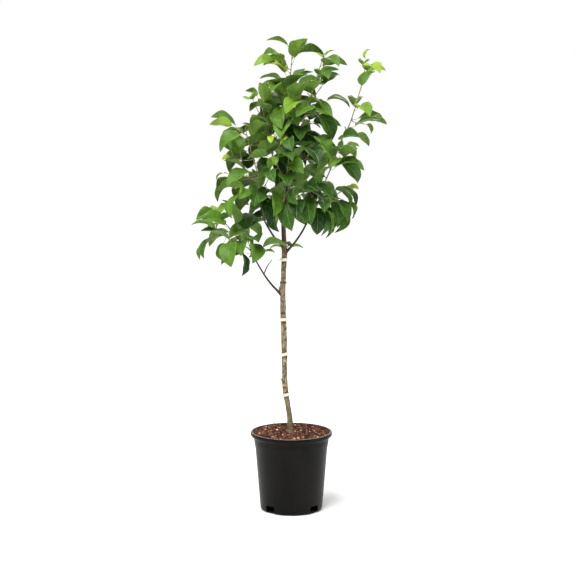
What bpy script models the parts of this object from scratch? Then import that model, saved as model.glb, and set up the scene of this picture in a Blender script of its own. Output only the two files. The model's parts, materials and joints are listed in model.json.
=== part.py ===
"""Potted pear tree: a young pear tree on one slender trunk, about 1.38 m tall with its nursery pot.

The tree stands on the flat underside of its pot, with the origin at the middle of that underside.
+X is right and +Y is away as the tree is seen from its front. Lengths are in metres and angles in
degrees, and a bearing is turned from +X towards +Y.
"""
import math
import random
from collections import namedtuple

import bmesh
import bpy
from mathutils import Matrix, Vector
from mathutils.bvhtree import BVHTree

# The gap that parts keep where they touch
GAP = 0.0003
UP = Vector((0.0, 0.0, 1.0))
SHARP_ANGLE = 35.0

# Pot: a 7.5 litre nursery container
POT_HEIGHT = 0.233
RIM_RADIUS = 0.120
MOUTH_RADIUS = 0.112
RIM_DEPTH = 0.0135
RIM_ROUNDING = 0.0030
SHOULDER_RADIUS = 0.1115
SHOULDER_FOOT_RADIUS = 0.1077
SHOULDER_FOOT_Z = 0.189
STEP_RADIUS = 0.1062
STEP_Z = 0.186
FOOT_RADIUS = 0.0920
FOOT_Z = 0.009
UNDERSIDE_RADIUS = 0.0845
UNDERSIDE_ROUNDING = 0.002
POT_WALL = 0.0018
RIM_LIP_DRAFT = 0.0005
POT_FLOOR = 0.004
POT_STEPS = 32

# Drainage notches, cut through the wall where it meets the floor
NOTCH_BEARINGS = (47.0, 137.0, 227.0, 317.0)
NOTCH_WIDTH = 0.032
NOTCH_HEIGHT = 0.023
NOTCH_DEPTH = 0.016
NOTCH_TOP_RATIO = 0.92

# Bark chips that fill the pot
SOIL_TOP = 0.2270
SOIL_EDGE_WIDTH = 0.006
SOIL_EDGE_DROP = 0.003

# Limbs: stations of x, y, z and radius up each centre line
TRUNK = (
    (-0.0025, 0.0000, SOIL_TOP + GAP, 0.0118),
    (-0.0032, 0.0000, 0.2370, 0.0094),
    (-0.0050, 0.0005, 0.2749, 0.0080),
    (-0.0112, 0.0010, 0.3150, 0.0075),
    (-0.0172, 0.0010, 0.3500, 0.0082),
    (-0.0200, 0.0010, 0.4005, 0.0077),
    (-0.0208, 0.0005, 0.4689, 0.0083),
    (-0.0223, 0.0000, 0.5341, 0.0084),
    (-0.0246, 0.0000, 0.6100, 0.0083),
    (-0.0246, 0.0000, 0.6579, 0.0072),
    (-0.0210, 0.0000, 0.7500, 0.0076),
    (-0.0212, 0.0000, 0.7900, 0.0072),
    (-0.0236, 0.0000, 0.8508, 0.0064),
    (-0.0256, 0.0000, 0.9220, 0.0054),
)
LOW_LEFT_BOUGH = (
    (-0.0250, 0.0000, 0.6340, 0.0040),
    (-0.0570, -0.0060, 0.6680, 0.0030),
    (-0.0800, -0.0120, 0.7000, 0.0026),
    (-0.1040, -0.0200, 0.7420, 0.0022),
)
LEFT_BOUGH = (
    (-0.0220, 0.0000, 0.7810, 0.0040),
    (-0.0430, -0.0100, 0.7990, 0.0030),
    (-0.0660, -0.0220, 0.8350, 0.0027),
    (-0.0820, -0.0300, 0.8680, 0.0025),
    (-0.0890, -0.0350, 0.9030, 0.0023),
)
RIGHT_BOUGH = (
    (-0.0210, 0.0000, 0.7580, 0.0046),
    (-0.0040, -0.0050, 0.7760, 0.0036),
    (0.0160, -0.0120, 0.8010, 0.0031),
    (0.0380, -0.0200, 0.8380, 0.0028),
    (0.0550, -0.0250, 0.8830, 0.0026),
    (0.0680, -0.0300, 0.9110, 0.0025),
)
FORK_LEFT_BOUGH = (
    (-0.0250, 0.0000, 0.9000, 0.0040),
    (-0.0400, 0.0080, 0.9430, 0.0036),
    (-0.0460, 0.0160, 0.9710, 0.0033),
    (-0.0490, 0.0200, 1.0070, 0.0029),
)
FORK_BACK_BOUGH = (
    (-0.0246, 0.0000, 0.8700, 0.0036),
    (-0.0290, 0.0170, 0.9250, 0.0034),
    (-0.0330, 0.0300, 0.9700, 0.0030),
    (-0.0340, 0.0370, 1.0080, 0.0027),
)
LEADER = (
    (-0.0256, 0.0000, 0.9220 + GAP, 0.0046),
    (-0.0160, 0.0000, 0.9500, 0.0042),
    (-0.0030, 0.0000, 0.9870, 0.0038),
    (0.0010, 0.0000, 1.0300, 0.0034),
    (0.0060, 0.0000, 1.0590, 0.0032),
    (0.0160, 0.0000, 1.0850, 0.0029),
)
BARE_TWIG = (
    (-0.0800, -0.0120, 0.7000, 0.0018),
    (-0.0700, -0.0200, 0.7240, 0.0015),
    (-0.0570, -0.0240, 0.7420, 0.0010),
)
PRUNING_STUB = (
    (-0.0180, 0.0000, 0.3830, 0.0040),
    (-0.0300, -0.0020, 0.3880, 0.0032),
)
TRUNK_SIDES = 12
BOUGH_SIDES = 8
STEM_SIDES = 5
SHOOT_SIDES = 4
RINGS_PER_SPAN = 2

# Stems and shoots that carry the leaves
STEM_RADIUS = 0.0026
STEM_TIP_RADIUS = 0.0011
STEM_TO_TIP_RATIO = 0.85
SHOOT_RADIUS = 0.0014
SHOOT_TIP_RADIUS = 0.0009
SHOOT_SAG = 0.10

# Ties round the trunk: name, height, slant across the front and bearing of the loose end
TIES = (
    ("tie_low", 0.3438, 14.0, 205.0),
    ("tie_middle", 0.4665, 14.0, 205.0),
    ("tie_upper", 0.5643, 0.0, 80.0),
    ("tie_top", 0.7432, 4.0, 190.0),
)
TIE_HEIGHT = 0.0085
TIE_THICKNESS = 0.0015
TIE_EDGE_RATIO = 0.8
TIE_STEPS = 12
TIE_END_LENGTH = 0.0075
TIE_END_HEIGHT = 0.0045
TIE_END_THICKNESS = 0.0012
TIE_END_DROOP = 0.3

# Leaves: pear leaves about 80 mm long, folded along the midrib and arched down to the tip.
# A pair of numbers is the range that one leaf's value is drawn from.
Leaf = namedtuple("Leaf", "root base along up length arch")
LEAF_LENGTH = 0.085
LEAF_LENGTH_SPREAD = 0.14
LEAF_LENGTH_DRAW = (-1.0, 0.6)
YOUNG_LEAF_RATIO = 0.78
LEAF_WIDTH_RATIO = 0.66
LEAF_WIDTH_SKEW = 0.75
LEAF_WIDTH_FULLNESS = 0.8
LEAF_THICKNESS_RATIO = 0.020
LEAF_STATIONS = (0.24, 0.64)
LEAF_FOLD = 30.0
LEAF_BEARING = (-45.0, 45.0)
LEAF_LEAN = (40.0, 75.0)
TIP_LEAF_LEAN = (10.0, 35.0)
TIP_LEAN_LOSS = 55.0
STALK_DROOP = (0.0, 0.25)
BLADE_DROOP = (-0.20, 0.20)
FACE_OUTWARD = 0.35
LEAF_ROLL = (-40.0, 40.0)
LEAF_ARCH = (35.0, 92.0)
STALK_RADIUS = 0.0009
STALK_RATIO = 0.34
STALK_FREE_SHARE = 0.35
LEAF_CLEARANCE = 0.0012
LEAF_TRIES = 8
TURN_PER_LEAF = 137.5
FIRST_LEAF = 0.022
LAST_LEAF_SHARE = 0.97

# Each spray: the limb that carries it, where on the limb it starts (1 is the tip), the points that its
# stem passes, how far its leaves may reach from the stem, their size against LEAF_LENGTH, how much their
# blades turn down, the leaves on the stem with the seeds that share them out, and its shoots.
# Each shoot: where it leaves the stem, its bearing and rise, its length, its leaves and their seeds.
Spray = namedtuple("Spray", "limb at route reach size droop leaves seeds shoots")
Shoot = namedtuple("Shoot", "at bearing rise length leaves seeds")
SPRAYS = {
    "low_left_spray": Spray("low_left_bough", 1.0, (
        (-0.120, -0.025, 0.772), (-0.140, -0.035, 0.789), (-0.174, -0.045, 0.832), (-0.213, -0.055, 0.881),
    ), 0.14, 1.0, 0.30, 9, (185, 154, 189, 78), (
        Shoot(0.12, 190, 75, 0.060, 4, (99,)),
        Shoot(0.35, 240, 0, 0.085, 5, (93, 13)),
        Shoot(0.50, 90, 30, 0.090, 5, (179,)),
        Shoot(0.60, 205, -5, 0.055, 5, (64, 54)),
        Shoot(0.06, 310, 20, 0.035, 3, (72, 9)),
    )),
    "left_spray": Spray("left_bough", 1.0, (
        (-0.093, -0.040, 0.955), (-0.100, -0.045, 1.004), (-0.113, -0.050, 1.047), (-0.131, -0.050, 1.120),
    ), 0.14, 1.0, 0.22, 9, (15, 252, 120, 15, 121), (
        Shoot(0.12, 230, 15, 0.075, 4, (137,)),
        Shoot(0.20, 295, 30, 0.090, 4, (199,)),
        Shoot(0.35, 190, 10, 0.095, 5, (54, 167)),
        Shoot(0.40, 120, 0, 0.105, 5, (118,)),
        Shoot(0.60, 165, 5, 0.060, 4, (29, 29)),
        Shoot(0.92, 190, 40, 0.030, 2, (3, 249)),
    )),
    "upper_left_spray": Spray("fork_left_bough", 1.0, (
        (-0.058, 0.020, 1.058), (-0.073, 0.010, 1.130), (-0.090, 0.000, 1.202),
    ), 0.14, 1.0, 0.16, 7, (90, 237, 131), (
        Shoot(0.25, 280, 25, 0.100, 4, (230,)),
        Shoot(0.30, 205, 20, 0.070, 4, (145,)),
        Shoot(0.40, 105, 25, 0.085, 5, (109,)),
        Shoot(0.55, 295, 50, 0.090, 5, (140,)),
        Shoot(0.75, 245, 30, 0.070, 3, (130,)),
    )),
    "top_spray": Spray("leader", 0.72, (
        (-0.010, -0.002, 1.073), (-0.014, -0.003, 1.145), (-0.007, -0.002, 1.216), (0.003, 0.000, 1.350),
    ), 0.13, 1.0, 0.10, 14, (201, 144, 44, 100, 29, 128, 33), (
        Shoot(0.35, 305, 35, 0.085, 5, (251,)),
        Shoot(0.45, 220, 50, 0.065, 4, (87,)),
        Shoot(0.50, 85, 30, 0.095, 5, (28,)),
        Shoot(0.80, 195, 35, 0.035, 3, (74, 181)),
    )),
    "top_right_spray": Spray("leader", 1.0, (
        (0.027, -0.010, 1.116), (0.041, -0.020, 1.168), (0.067, -0.025, 1.253), (0.090, -0.025, 1.322),
    ), 0.13, 0.95, 0.08, 12, (191, 25, 47, 7, 51, 80), (
        Shoot(0.15, 330, -20, 0.065, 4, (132,)),
        Shoot(0.40, 320, 15, 0.065, 4, (128,)),
        Shoot(0.55, 70, 15, 0.090, 4, (248,)),
    )),
    "right_low_spray": Spray("right_bough", 0.90, (
        (0.082, -0.035, 0.917), (0.110, -0.040, 0.932), (0.147, -0.050, 0.918),
    ), 0.13, 0.95, 0.32, 7, (209, 141, 50), (
        Shoot(0.15, 260, 30, 0.085, 4, (115,)),
        Shoot(0.30, 280, -5, 0.065, 4, (36, 105)),
        Shoot(0.40, 75, -10, 0.105, 5, (247,)),
        Shoot(0.50, 40, 15, 0.080, 4, (186,)),
    )),
    "right_high_spray": Spray("right_bough", 1.0, (
        (0.096, -0.035, 0.969), (0.117, -0.040, 1.020), (0.141, -0.040, 1.085), (0.168, -0.040, 1.140),
        (0.201, -0.040, 1.253), (0.211, -0.040, 1.310),
    ), 0.13, 1.0, 0.12, 16, (236, 123, 234, 85, 131, 80, 45, 80), (
        Shoot(0.28, 295, 15, 0.050, 4, (16,)),
        Shoot(0.30, 80, 5, 0.080, 4, (222,)),
        Shoot(0.60, 340, -15, 0.035, 2, (151, 68)),
    )),
    "front_spray": Spray("trunk", 0.92, (
        (-0.019, -0.030, 0.894), (-0.004, -0.080, 0.926), (0.004, -0.120, 0.949),
    ), 0.13, 1.0, 0.36, 5, (137, 118), (
        Shoot(0.50, 220, 15, 0.065, 4, (30,)),
        Shoot(0.60, 325, 30, 0.080, 5, (222,)),
    )),
    "front_high_spray": Spray("trunk", 0.955, (
        (-0.019, -0.040, 0.946), (-0.010, -0.080, 1.020), (-0.004, -0.100, 1.085),
    ), 0.14, 1.0, 0.28, 7, (158, 88), (
        Shoot(0.50, 240, 40, 0.090, 5, (20,)),
        Shoot(0.60, 330, 35, 0.095, 5, (170,)),
    )),
    "back_spray": Spray("trunk", 0.89, (
        (-0.016, 0.030, 0.866), (-0.001, 0.080, 0.891), (0.011, 0.120, 0.918),
    ), 0.14, 1.0, 0.40, 5, (239,), (
        Shoot(0.45, 140, 30, 0.080, 5, (17,)),
        Shoot(0.55, 30, 30, 0.095, 5, (103,)),
    )),
    "back_high_spray": Spray("fork_back_bough", 1.0, (
        (-0.033, 0.045, 1.063), (-0.025, 0.070, 1.129), (-0.010, 0.090, 1.201),
    ), 0.14, 1.0, 0.20, 7, (25, 152), (
        Shoot(0.15, 50, 5, 0.105, 5, (191,)),
        Shoot(0.40, 130, 20, 0.100, 5, (77,)),
        Shoot(0.50, 30, 15, 0.100, 5, (94,)),
    )),
    "trunk_spray": Spray("trunk", 0.755, (
        (-0.019, 0.014, 0.759), (-0.015, 0.026, 0.772),
    ), 0.08, 0.5, 0.35, 4, (65, 84), ()),
}


# Materials

def material(name, colour, roughness):
    """Make one plain finish."""
    finish = bpy.data.materials.new(name)
    finish.use_nodes = True
    shader = finish.node_tree.nodes["Principled BSDF"]
    shader.inputs["Base Color"].default_value = (*colour, 1.0)
    shader.inputs["Roughness"].default_value = roughness
    shader.inputs["Metallic"].default_value = 0.0
    return finish


# Shapes: each is a list of points and a list of faces

def loft(rings, closed=False):
    """Skin a solid over rings of points; a last ring of one point closes it to a tip.

    The seams across neighbouring sides lean opposite ways, so that the two faces of a thin blade bend
    alike and keep clear of each other.
    """
    points = [point for ring in rings for point in ring]
    sides = len(rings[0])
    faces = []
    spans = len(rings) if closed else len(rings) - 1
    for span in range(spans):
        for side in range(sides):
            following = (side + 1) % sides
            low, low_next = span * sides + side, span * sides + following
            if not closed and len(rings[span + 1]) == 1:
                faces.append((low, low_next, len(points) - 1))
                continue
            base = (span + 1) % len(rings) * sides
            high, high_next = base + side, base + following
            if side % 2:
                faces += [(low, low_next, high), (low_next, high_next, high)]
            else:
                faces += [(low, low_next, high_next), (low, high_next, high)]
    if not closed:
        faces.append(tuple(reversed(range(sides))))
        if len(rings[-1]) > 1:
            faces.append(tuple(range(len(points) - sides, len(points))))
    return points, faces


def smooth_path(stations, rings_per_span=RINGS_PER_SPAN):
    """Carry a smooth line through stations of x, y, z and radius."""
    marks = [Vector(station) for station in stations]
    marks = [marks[0] * 2 - marks[1], *marks, marks[-1] * 2 - marks[-2]]
    path = []
    for before, start, end, after in zip(marks, marks[1:], marks[2:], marks[3:]):
        for step in range(rings_per_span):
            t = step / rings_per_span
            path.append(0.5 * (
                start * 2
                + (end - before) * t
                + (before * 2 - start * 5 + end * 4 - after) * t ** 2
                + (start * 3 - before - end * 3 + after) * t ** 3
            ))
    path.append(marks[-2])
    return path


def frames(path, foot_direction=None):
    """Give each ring of a path its centre, its direction and a side that doesn't twist."""
    centres = [mark.to_3d() for mark in path]
    placed = []
    side = None
    for index, centre in enumerate(centres):
        ahead = centres[min(index + 1, len(centres) - 1)]
        behind = centres[max(index - 1, 0)]
        along = (ahead - behind).normalized()
        if index == 0 and foot_direction is not None:
            along = foot_direction
        if side is None:
            side = along.orthogonal()
        side = (side - along * side.dot(along)).normalized()
        placed.append((centre, along, side))
    return placed


def tube(path, sides, foot_direction=None, swell=0.0):
    """Skin a round tapering limb along a path, swollen all round and at both ends if asked."""
    placed = frames(path, foot_direction)
    rings = []
    for index, (mark, (centre, along, side)) in enumerate(zip(path, placed)):
        if index == 0:
            centre = centre - along * swell
        if index == len(path) - 1:
            centre = centre + along * swell
        across = along.cross(side)
        ring = []
        for step in range(sides):
            angle = math.tau * step / sides
            ring.append(centre + (side * math.cos(angle) + across * math.sin(angle)) * (mark.w + swell))
        rings.append(ring)
    return loft(rings)


def length_of(path):
    """Measure a path along its centre line."""
    return sum((end - start).to_3d().length for start, end in zip(path, path[1:]))


def place_on(path, share):
    """Find the centre, direction and side at a share of a path's length."""
    placed = frames(path)
    lengths = [(b[0] - a[0]).length for a, b in zip(placed, placed[1:])]
    left = share * sum(lengths)
    for index, length in enumerate(lengths):
        if left <= length or index == len(lengths) - 1:
            part = min(left / length, 1.0)
            start = placed[index]
            end = placed[index + 1]
            centre = start[0].lerp(end[0], part)
            along = start[1].lerp(end[1], part).normalized()
            side = start[2] - along * start[2].dot(along)
            return centre, along, side.normalized()
        left -= length
    return placed[-1]


def new_object(name, shape, finish):
    """Put a shape into the scene as one object."""
    mesh = bpy.data.meshes.new(name)
    mesh.from_pydata(shape[0], [], shape[1])
    mesh.materials.append(finish)
    mesh.shade_smooth()
    mesh.set_sharp_from_angle(angle=math.radians(SHARP_ANGLE))
    piece = bpy.data.objects.new(name, mesh)
    bpy.context.scene.collection.objects.link(piece)
    return piece


def settle(piece):
    """Apply a piece's modifiers."""
    bpy.context.view_layer.update()
    solved = bpy.data.meshes.new_from_object(piece.evaluated_get(bpy.context.evaluated_depsgraph_get()))
    raw = piece.data
    name = raw.name
    piece.modifiers.clear()
    piece.data = solved
    bpy.data.meshes.remove(raw)
    solved.name = name


def cut(piece, shape):
    """Cut a shape out of a piece.

    The MANIFOLD solver is used because EXACT may split the same flat face another way on another run.
    """
    cutter = new_object("cutter", shape, piece.data.materials[0])
    cutter.hide_render = True
    cutter.display_type = "WIRE"
    difference = piece.modifiers.new("cut", "BOOLEAN")
    difference.operation = "DIFFERENCE"
    difference.object = cutter
    difference.solver = "MANIFOLD"
    settle(piece)
    bpy.data.objects.remove(cutter)


def fuse(piece, shapes):
    """Join shapes to a piece with one Boolean union on a collection.

    The MANIFOLD solver is used because EXACT leaves open edges where many thin stalks meet one twig.
    """
    operands = bpy.data.collections.new("operands")
    bpy.context.scene.collection.children.link(operands)
    for shape in shapes:
        operand = new_object("operand", shape, piece.data.materials[0])
        bpy.context.scene.collection.objects.unlink(operand)
        operands.objects.link(operand)
    union = piece.modifiers.new("union", "BOOLEAN")
    union.operation = "UNION"
    union.operand_type = "COLLECTION"
    union.collection = operands
    union.solver = "MANIFOLD"
    settle(piece)
    for operand in list(operands.objects):
        bpy.data.objects.remove(operand)
    bpy.data.collections.remove(operands)


# Pot and soil

def turned(profile):
    """Turn a profile of radius and height about the pot's axis into a closed solid."""
    form = bmesh.new()
    points = [form.verts.new((radius, 0.0, height)) for radius, height in profile]
    edges = [form.edges.new(pair) for pair in zip(points, points[1:])]
    bmesh.ops.spin(
        form, geom=points + edges, axis=UP, cent=(0.0, 0.0, 0.0), dvec=(0.0, 0.0, 0.0),
        angle=math.tau, steps=POT_STEPS, use_merge=True,
    )
    bmesh.ops.remove_doubles(form, verts=form.verts, dist=1e-6)
    bmesh.ops.recalc_face_normals(form, faces=form.faces)
    form.verts.index_update()
    shape = (
        [point.co.copy() for point in form.verts],
        [tuple(point.index for point in face.verts) for face in form.faces],
    )
    form.free()
    return shape


def inner_wall():
    """Radius and height down the inside of the pot, from under the rim to the floor."""
    return (
        (MOUTH_RADIUS, POT_HEIGHT - RIM_ROUNDING),
        (SHOULDER_RADIUS - POT_WALL - RIM_LIP_DRAFT, POT_HEIGHT - RIM_DEPTH),
        (SHOULDER_FOOT_RADIUS - POT_WALL, SHOULDER_FOOT_Z + POT_WALL),
        (STEP_RADIUS - POT_WALL, STEP_Z),
        (FOOT_RADIUS - POT_WALL, FOOT_Z + POT_FLOOR),
        (UNDERSIDE_RADIUS - POT_WALL, POT_FLOOR),
    )


def make_pot(finish):
    """Tapered container with a rolled rim, a stepped shoulder and four drainage notches."""
    rim_foot = POT_HEIGHT - RIM_DEPTH
    profile = (
        (0.0, 0.0),
        (UNDERSIDE_RADIUS, 0.0),
        (FOOT_RADIUS - UNDERSIDE_ROUNDING, FOOT_Z / 3),
        (FOOT_RADIUS, FOOT_Z),
        (STEP_RADIUS, STEP_Z),
        (SHOULDER_FOOT_RADIUS, SHOULDER_FOOT_Z),
        (SHOULDER_RADIUS, rim_foot),
        (RIM_RADIUS - RIM_ROUNDING, rim_foot),
        (RIM_RADIUS, rim_foot + RIM_ROUNDING),
        (RIM_RADIUS, POT_HEIGHT - RIM_ROUNDING),
        (RIM_RADIUS - RIM_ROUNDING / 2, POT_HEIGHT - RIM_ROUNDING / 6),
        (RIM_RADIUS - RIM_ROUNDING, POT_HEIGHT),
        (MOUTH_RADIUS + RIM_ROUNDING / 2, POT_HEIGHT - RIM_ROUNDING / 6),
        *inner_wall(),
        (0.0, POT_FLOOR),
    )
    pot = new_object("pot", turned(profile), finish)
    half = NOTCH_WIDTH / 2
    top = half * NOTCH_TOP_RATIO
    corners = ((-half, -FOOT_Z), (half, -FOOT_Z), (top, NOTCH_HEIGHT), (-top, NOTCH_HEIGHT))
    for bearing in NOTCH_BEARINGS:
        turn = Matrix.Rotation(math.radians(bearing), 3, "Z")
        rings = []
        for x in (FOOT_RADIUS - NOTCH_DEPTH / 2, FOOT_RADIUS + NOTCH_DEPTH / 2):
            rings.append([turn @ Vector((x, y, z)) for y, z in corners])
        cut(pot, loft(rings))
    return pot


def make_soil(finish):
    """Fill of bark chips, level under the trunk and a little lower at the pot's wall."""
    walls = [(radius - GAP, max(height, POT_FLOOR + GAP)) for radius, height in inner_wall()[1:]]
    edge_radius = walls[0][0]
    profile = (
        (0.0, SOIL_TOP),
        (edge_radius - SOIL_EDGE_WIDTH, SOIL_TOP),
        (edge_radius, SOIL_TOP - SOIL_EDGE_DROP),
        *walls,
        (0.0, POT_FLOOR + GAP),
    )
    return new_object("soil", turned(profile), finish)


# Trunk, boughs and ties

def limb_paths():
    """Centre lines of the trunk and boughs, by node name."""
    return {
        "trunk": smooth_path(TRUNK, 1),
        "low_left_bough": smooth_path(LOW_LEFT_BOUGH),
        "left_bough": smooth_path(LEFT_BOUGH),
        "right_bough": smooth_path(RIGHT_BOUGH),
        "fork_left_bough": smooth_path(FORK_LEFT_BOUGH),
        "fork_back_bough": smooth_path(FORK_BACK_BOUGH),
        "leader": smooth_path(LEADER),
    }


def limb_shape(name, paths, swell=0.0):
    """Skin a limb; the leader's foot lies flat on the trunk's tip."""
    foot_direction = None
    if name == "trunk":
        foot_direction = UP
    if name == "leader":
        foot_direction = frames(paths["trunk"])[-1][1]
    sides = TRUNK_SIDES if name == "trunk" else BOUGH_SIDES
    return tube(paths[name], sides, foot_direction, swell)


def make_limbs(paths, bark):
    """Trunk, boughs and leader, each bough cut clear of the limb that it springs from."""
    trunk = new_object("trunk", limb_shape("trunk", paths), bark)
    fuse(trunk, [tube(smooth_path(PRUNING_STUB), BOUGH_SIDES)])
    new_object("leader", limb_shape("leader", paths), bark)
    for name in ("low_left_bough", "left_bough", "right_bough", "fork_left_bough", "fork_back_bough"):
        bough = new_object(name, limb_shape(name, paths), bark)
        cut(bough, limb_shape("trunk", paths, GAP))
        if name == "fork_left_bough":
            cut(bough, limb_shape("leader", paths, GAP))
        if name == "low_left_bough":
            fuse(bough, [tube(smooth_path(BARE_TWIG), SHOOT_SIDES)])


def tie_shape(path, height, slant):
    """Snug band round the trunk, slanted across its front."""
    foot = path[0].z
    share = (height - foot) / (path[-1].z - foot)
    centre = place_on(path, share)[0]
    radius = min(path, key=lambda mark: abs(mark.z - height)).w
    inner = (radius + 2 * GAP) / math.cos(math.pi / TIE_STEPS)
    outer = inner + TIE_THICKNESS
    half = TIE_HEIGHT / 2
    edge = half * TIE_EDGE_RATIO
    corners = ((inner, -half), (inner, half), (outer, edge), (outer, -edge))
    rings = []
    for step in range(TIE_STEPS):
        angle = math.tau * step / TIE_STEPS
        out = Vector((math.cos(angle), math.sin(angle), math.tan(math.radians(slant)) * math.cos(angle)))
        rings.append([centre + out * reach + UP * lift for reach, lift in corners])
    return loft(rings, closed=True), centre, inner


def make_ties(path, finish):
    """Soft ties round the trunk, each with a short loose end."""
    for name, height, slant, bearing in TIES:
        band, centre, inner = tie_shape(path, height, slant)
        tie = new_object(name, band, finish)
        turn = Matrix.Rotation(math.radians(bearing), 3, "Z")
        start = inner + TIE_THICKNESS / 2
        side = TIE_END_THICKNESS / 2
        half = TIE_END_HEIGHT / 2
        rings = []
        for x, drop in ((start, 0.0), (start + TIE_END_LENGTH, TIE_END_LENGTH * TIE_END_DROOP)):
            corners = ((-side, -half), (side, -half), (side, half), (-side, half))
            rings.append([centre + turn @ Vector((x, y, z - drop)) for y, z in corners])
        fuse(tie, [loft(rings)])


# Sprays of leaves

def stem_path(spray, paths):
    """Run a spray's stem from its limb through its route."""
    limb = paths[spray.limb]
    centre, along, side = place_on(limb, spray.at)
    foot_radius = STEM_RADIUS
    if spray.at == 1.0:
        centre = limb[-1].to_3d() + along * GAP
        foot_radius = limb[-1].w * STEM_TO_TIP_RATIO
    points = [centre, *(Vector(point) for point in spray.route)]
    stations = []
    for index, point in enumerate(points):
        share = index / (len(points) - 1)
        stations.append((*point, foot_radius + (STEM_TIP_RADIUS - foot_radius) * share))
    return smooth_path(stations)


def shoot_path(stem, shoot):
    """Run a shoot out from the middle of its stem, sagging a little before its tip turns up."""
    start = place_on(stem, shoot.at)[0]
    bearing = math.radians(shoot.bearing)
    rise = math.radians(shoot.rise)
    heading = Vector((math.cos(rise) * math.cos(bearing), math.cos(rise) * math.sin(bearing), math.sin(rise)))
    stations = []
    for share in (0.0, 0.5, 1.0):
        sag = -UP * (SHOOT_SAG * shoot.length * 4 * share * (1 - share))
        radius = SHOOT_RADIUS + (SHOOT_TIP_RADIUS - SHOOT_RADIUS) * share
        stations.append((*(start + heading * (shoot.length * share) + sag), radius))
    return smooth_path(stations)


def leaf_width(share):
    """Width of a leaf at a share of its length, as a part of its full width."""
    return math.sin(math.pi * share ** LEAF_WIDTH_SKEW) ** LEAF_WIDTH_FULLNESS


def midrib(leaf, share):
    """Point on a leaf's midrib and the way its upper face looks there."""
    turn = leaf.arch * share
    radius = leaf.length / leaf.arch
    point = leaf.base + leaf.along * (radius * math.sin(turn)) - leaf.up * (radius * (1 - math.cos(turn)))
    return point, leaf.up * math.cos(turn) + leaf.along * math.sin(turn)


def leaf_shape(leaf, clearance=0.0):
    """Skin a leaf: its stalk from the middle of the twig, then its folded blade."""
    across = leaf.along.cross(leaf.up)
    stalk = leaf.base - leaf.root
    stalk_side = (across - stalk * (across.dot(stalk) / stalk.length_squared)).normalized()
    stalk_up = stalk_side.cross(stalk).normalized()
    foot = leaf.root + stalk * (STALK_FREE_SHARE if clearance else 0.0)
    radius = STALK_RADIUS + clearance
    rings = []
    for point in (foot, leaf.base):
        rings.append([
            point + stalk_side * radius, point - stalk_up * radius,
            point - stalk_side * radius, point + stalk_up * radius,
        ])
    fold = math.radians(LEAF_FOLD)
    thick = LEAF_THICKNESS_RATIO * leaf.length / 2 + clearance
    for share in LEAF_STATIONS:
        point, up = midrib(leaf, share)
        half = LEAF_WIDTH_RATIO * leaf.length / 2 * leaf_width(share) + clearance
        lift = up * (half * math.sin(fold))
        spread = across * (half * math.cos(fold))
        rings.append([point + spread + lift, point - up * thick, point - spread + lift, point + up * thick])
    rings.append([midrib(leaf, 1.0 + clearance / leaf.length)[0]])
    return loft(rings)


def draw_leaf(twig, share, bearing, size, droop, rng):
    """Draw one leaf's stance at random: how it leaves the twig, droops, arches and rolls."""
    root, along, side = place_on(twig, share)
    out = Matrix.Rotation(math.radians(bearing + rng.uniform(*LEAF_BEARING)), 3, along) @ side
    lean = rng.uniform(*LEAF_LEAN) + (rng.uniform(*TIP_LEAF_LEAN) - TIP_LEAN_LOSS) * share ** 3
    heading = (along * math.cos(math.radians(lean)) + out * math.sin(math.radians(lean))).normalized()
    length = LEAF_LENGTH * size * (1 + LEAF_LENGTH_SPREAD * rng.uniform(*LEAF_LENGTH_DRAW))
    stalk = heading.lerp(-UP, rng.uniform(*STALK_DROOP)).normalized()
    base = root + stalk * (STALK_RATIO * length)
    blade = heading.lerp(-UP, droop + rng.uniform(*BLADE_DROOP)).normalized()
    face = UP + out * FACE_OUTWARD
    face = (face - blade * face.dot(blade)).normalized()
    face = Matrix.Rotation(math.radians(rng.uniform(*LEAF_ROLL)), 3, blade) @ face
    arch = math.radians(rng.uniform(*LEAF_ARCH))
    return Leaf(root, base, blade, face, length, arch)


def tree_of(shape):
    """Make a shape ready for overlap tests."""
    return BVHTree.FromPolygons(shape[0], shape[1])


def is_clear(shape, obstacles):
    """Tell whether a shape touches none of the obstacles."""
    own = tree_of(shape)
    return not any(own.overlap(obstacle) for obstacle in obstacles)


def in_reach(leaf, stem, reach):
    """Tell whether a leaf's tip keeps to the space round its spray's stem."""
    tip = midrib(leaf, 1.0)[0]
    return min((tip - mark.to_3d()).length for mark in stem) <= reach


def leaf_runs(count, seeds):
    """Share a twig's leaves out among its seeds, as equal runs up the twig."""
    marks = [round(count * index / len(seeds)) for index in range(len(seeds) + 1)]
    return [(range(low, high), seed) for low, high, seed in zip(marks, marks[1:], seeds)]


def grow_run(twig, count, run, seed, spray, stem, limbs, foliage):
    """Set one run of a twig's leaves in a spiral; a leaf that finds no clear place in reach is skipped.

    A swollen leaf, less the root of its stalk, keeps clear of limbs and foliage, and the whole leaf keeps
    clear of foliage.
    """
    rng = random.Random(seed)
    turn = rng.uniform(0, 360)
    first = FIRST_LEAF / length_of(twig)
    leaves = []
    trees = []
    for index in run:
        share = first + (LAST_LEAF_SHARE - first) * index / (count - 1)
        turn += TURN_PER_LEAF
        size = spray.size * (YOUNG_LEAF_RATIO if index == count - 1 else 1.0)
        for _ in range(LEAF_TRIES):
            leaf = draw_leaf(twig, share, turn, size, spray.droop, rng)
            if not in_reach(leaf, stem, spray.reach):
                continue
            guard = leaf_shape(leaf, LEAF_CLEARANCE)
            if is_clear(guard, limbs + foliage + trees) and is_clear(leaf_shape(leaf), foliage + trees):
                leaves.append(leaf)
                trees.append(tree_of(leaf_shape(leaf)))
                break
    return leaves, trees


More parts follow.
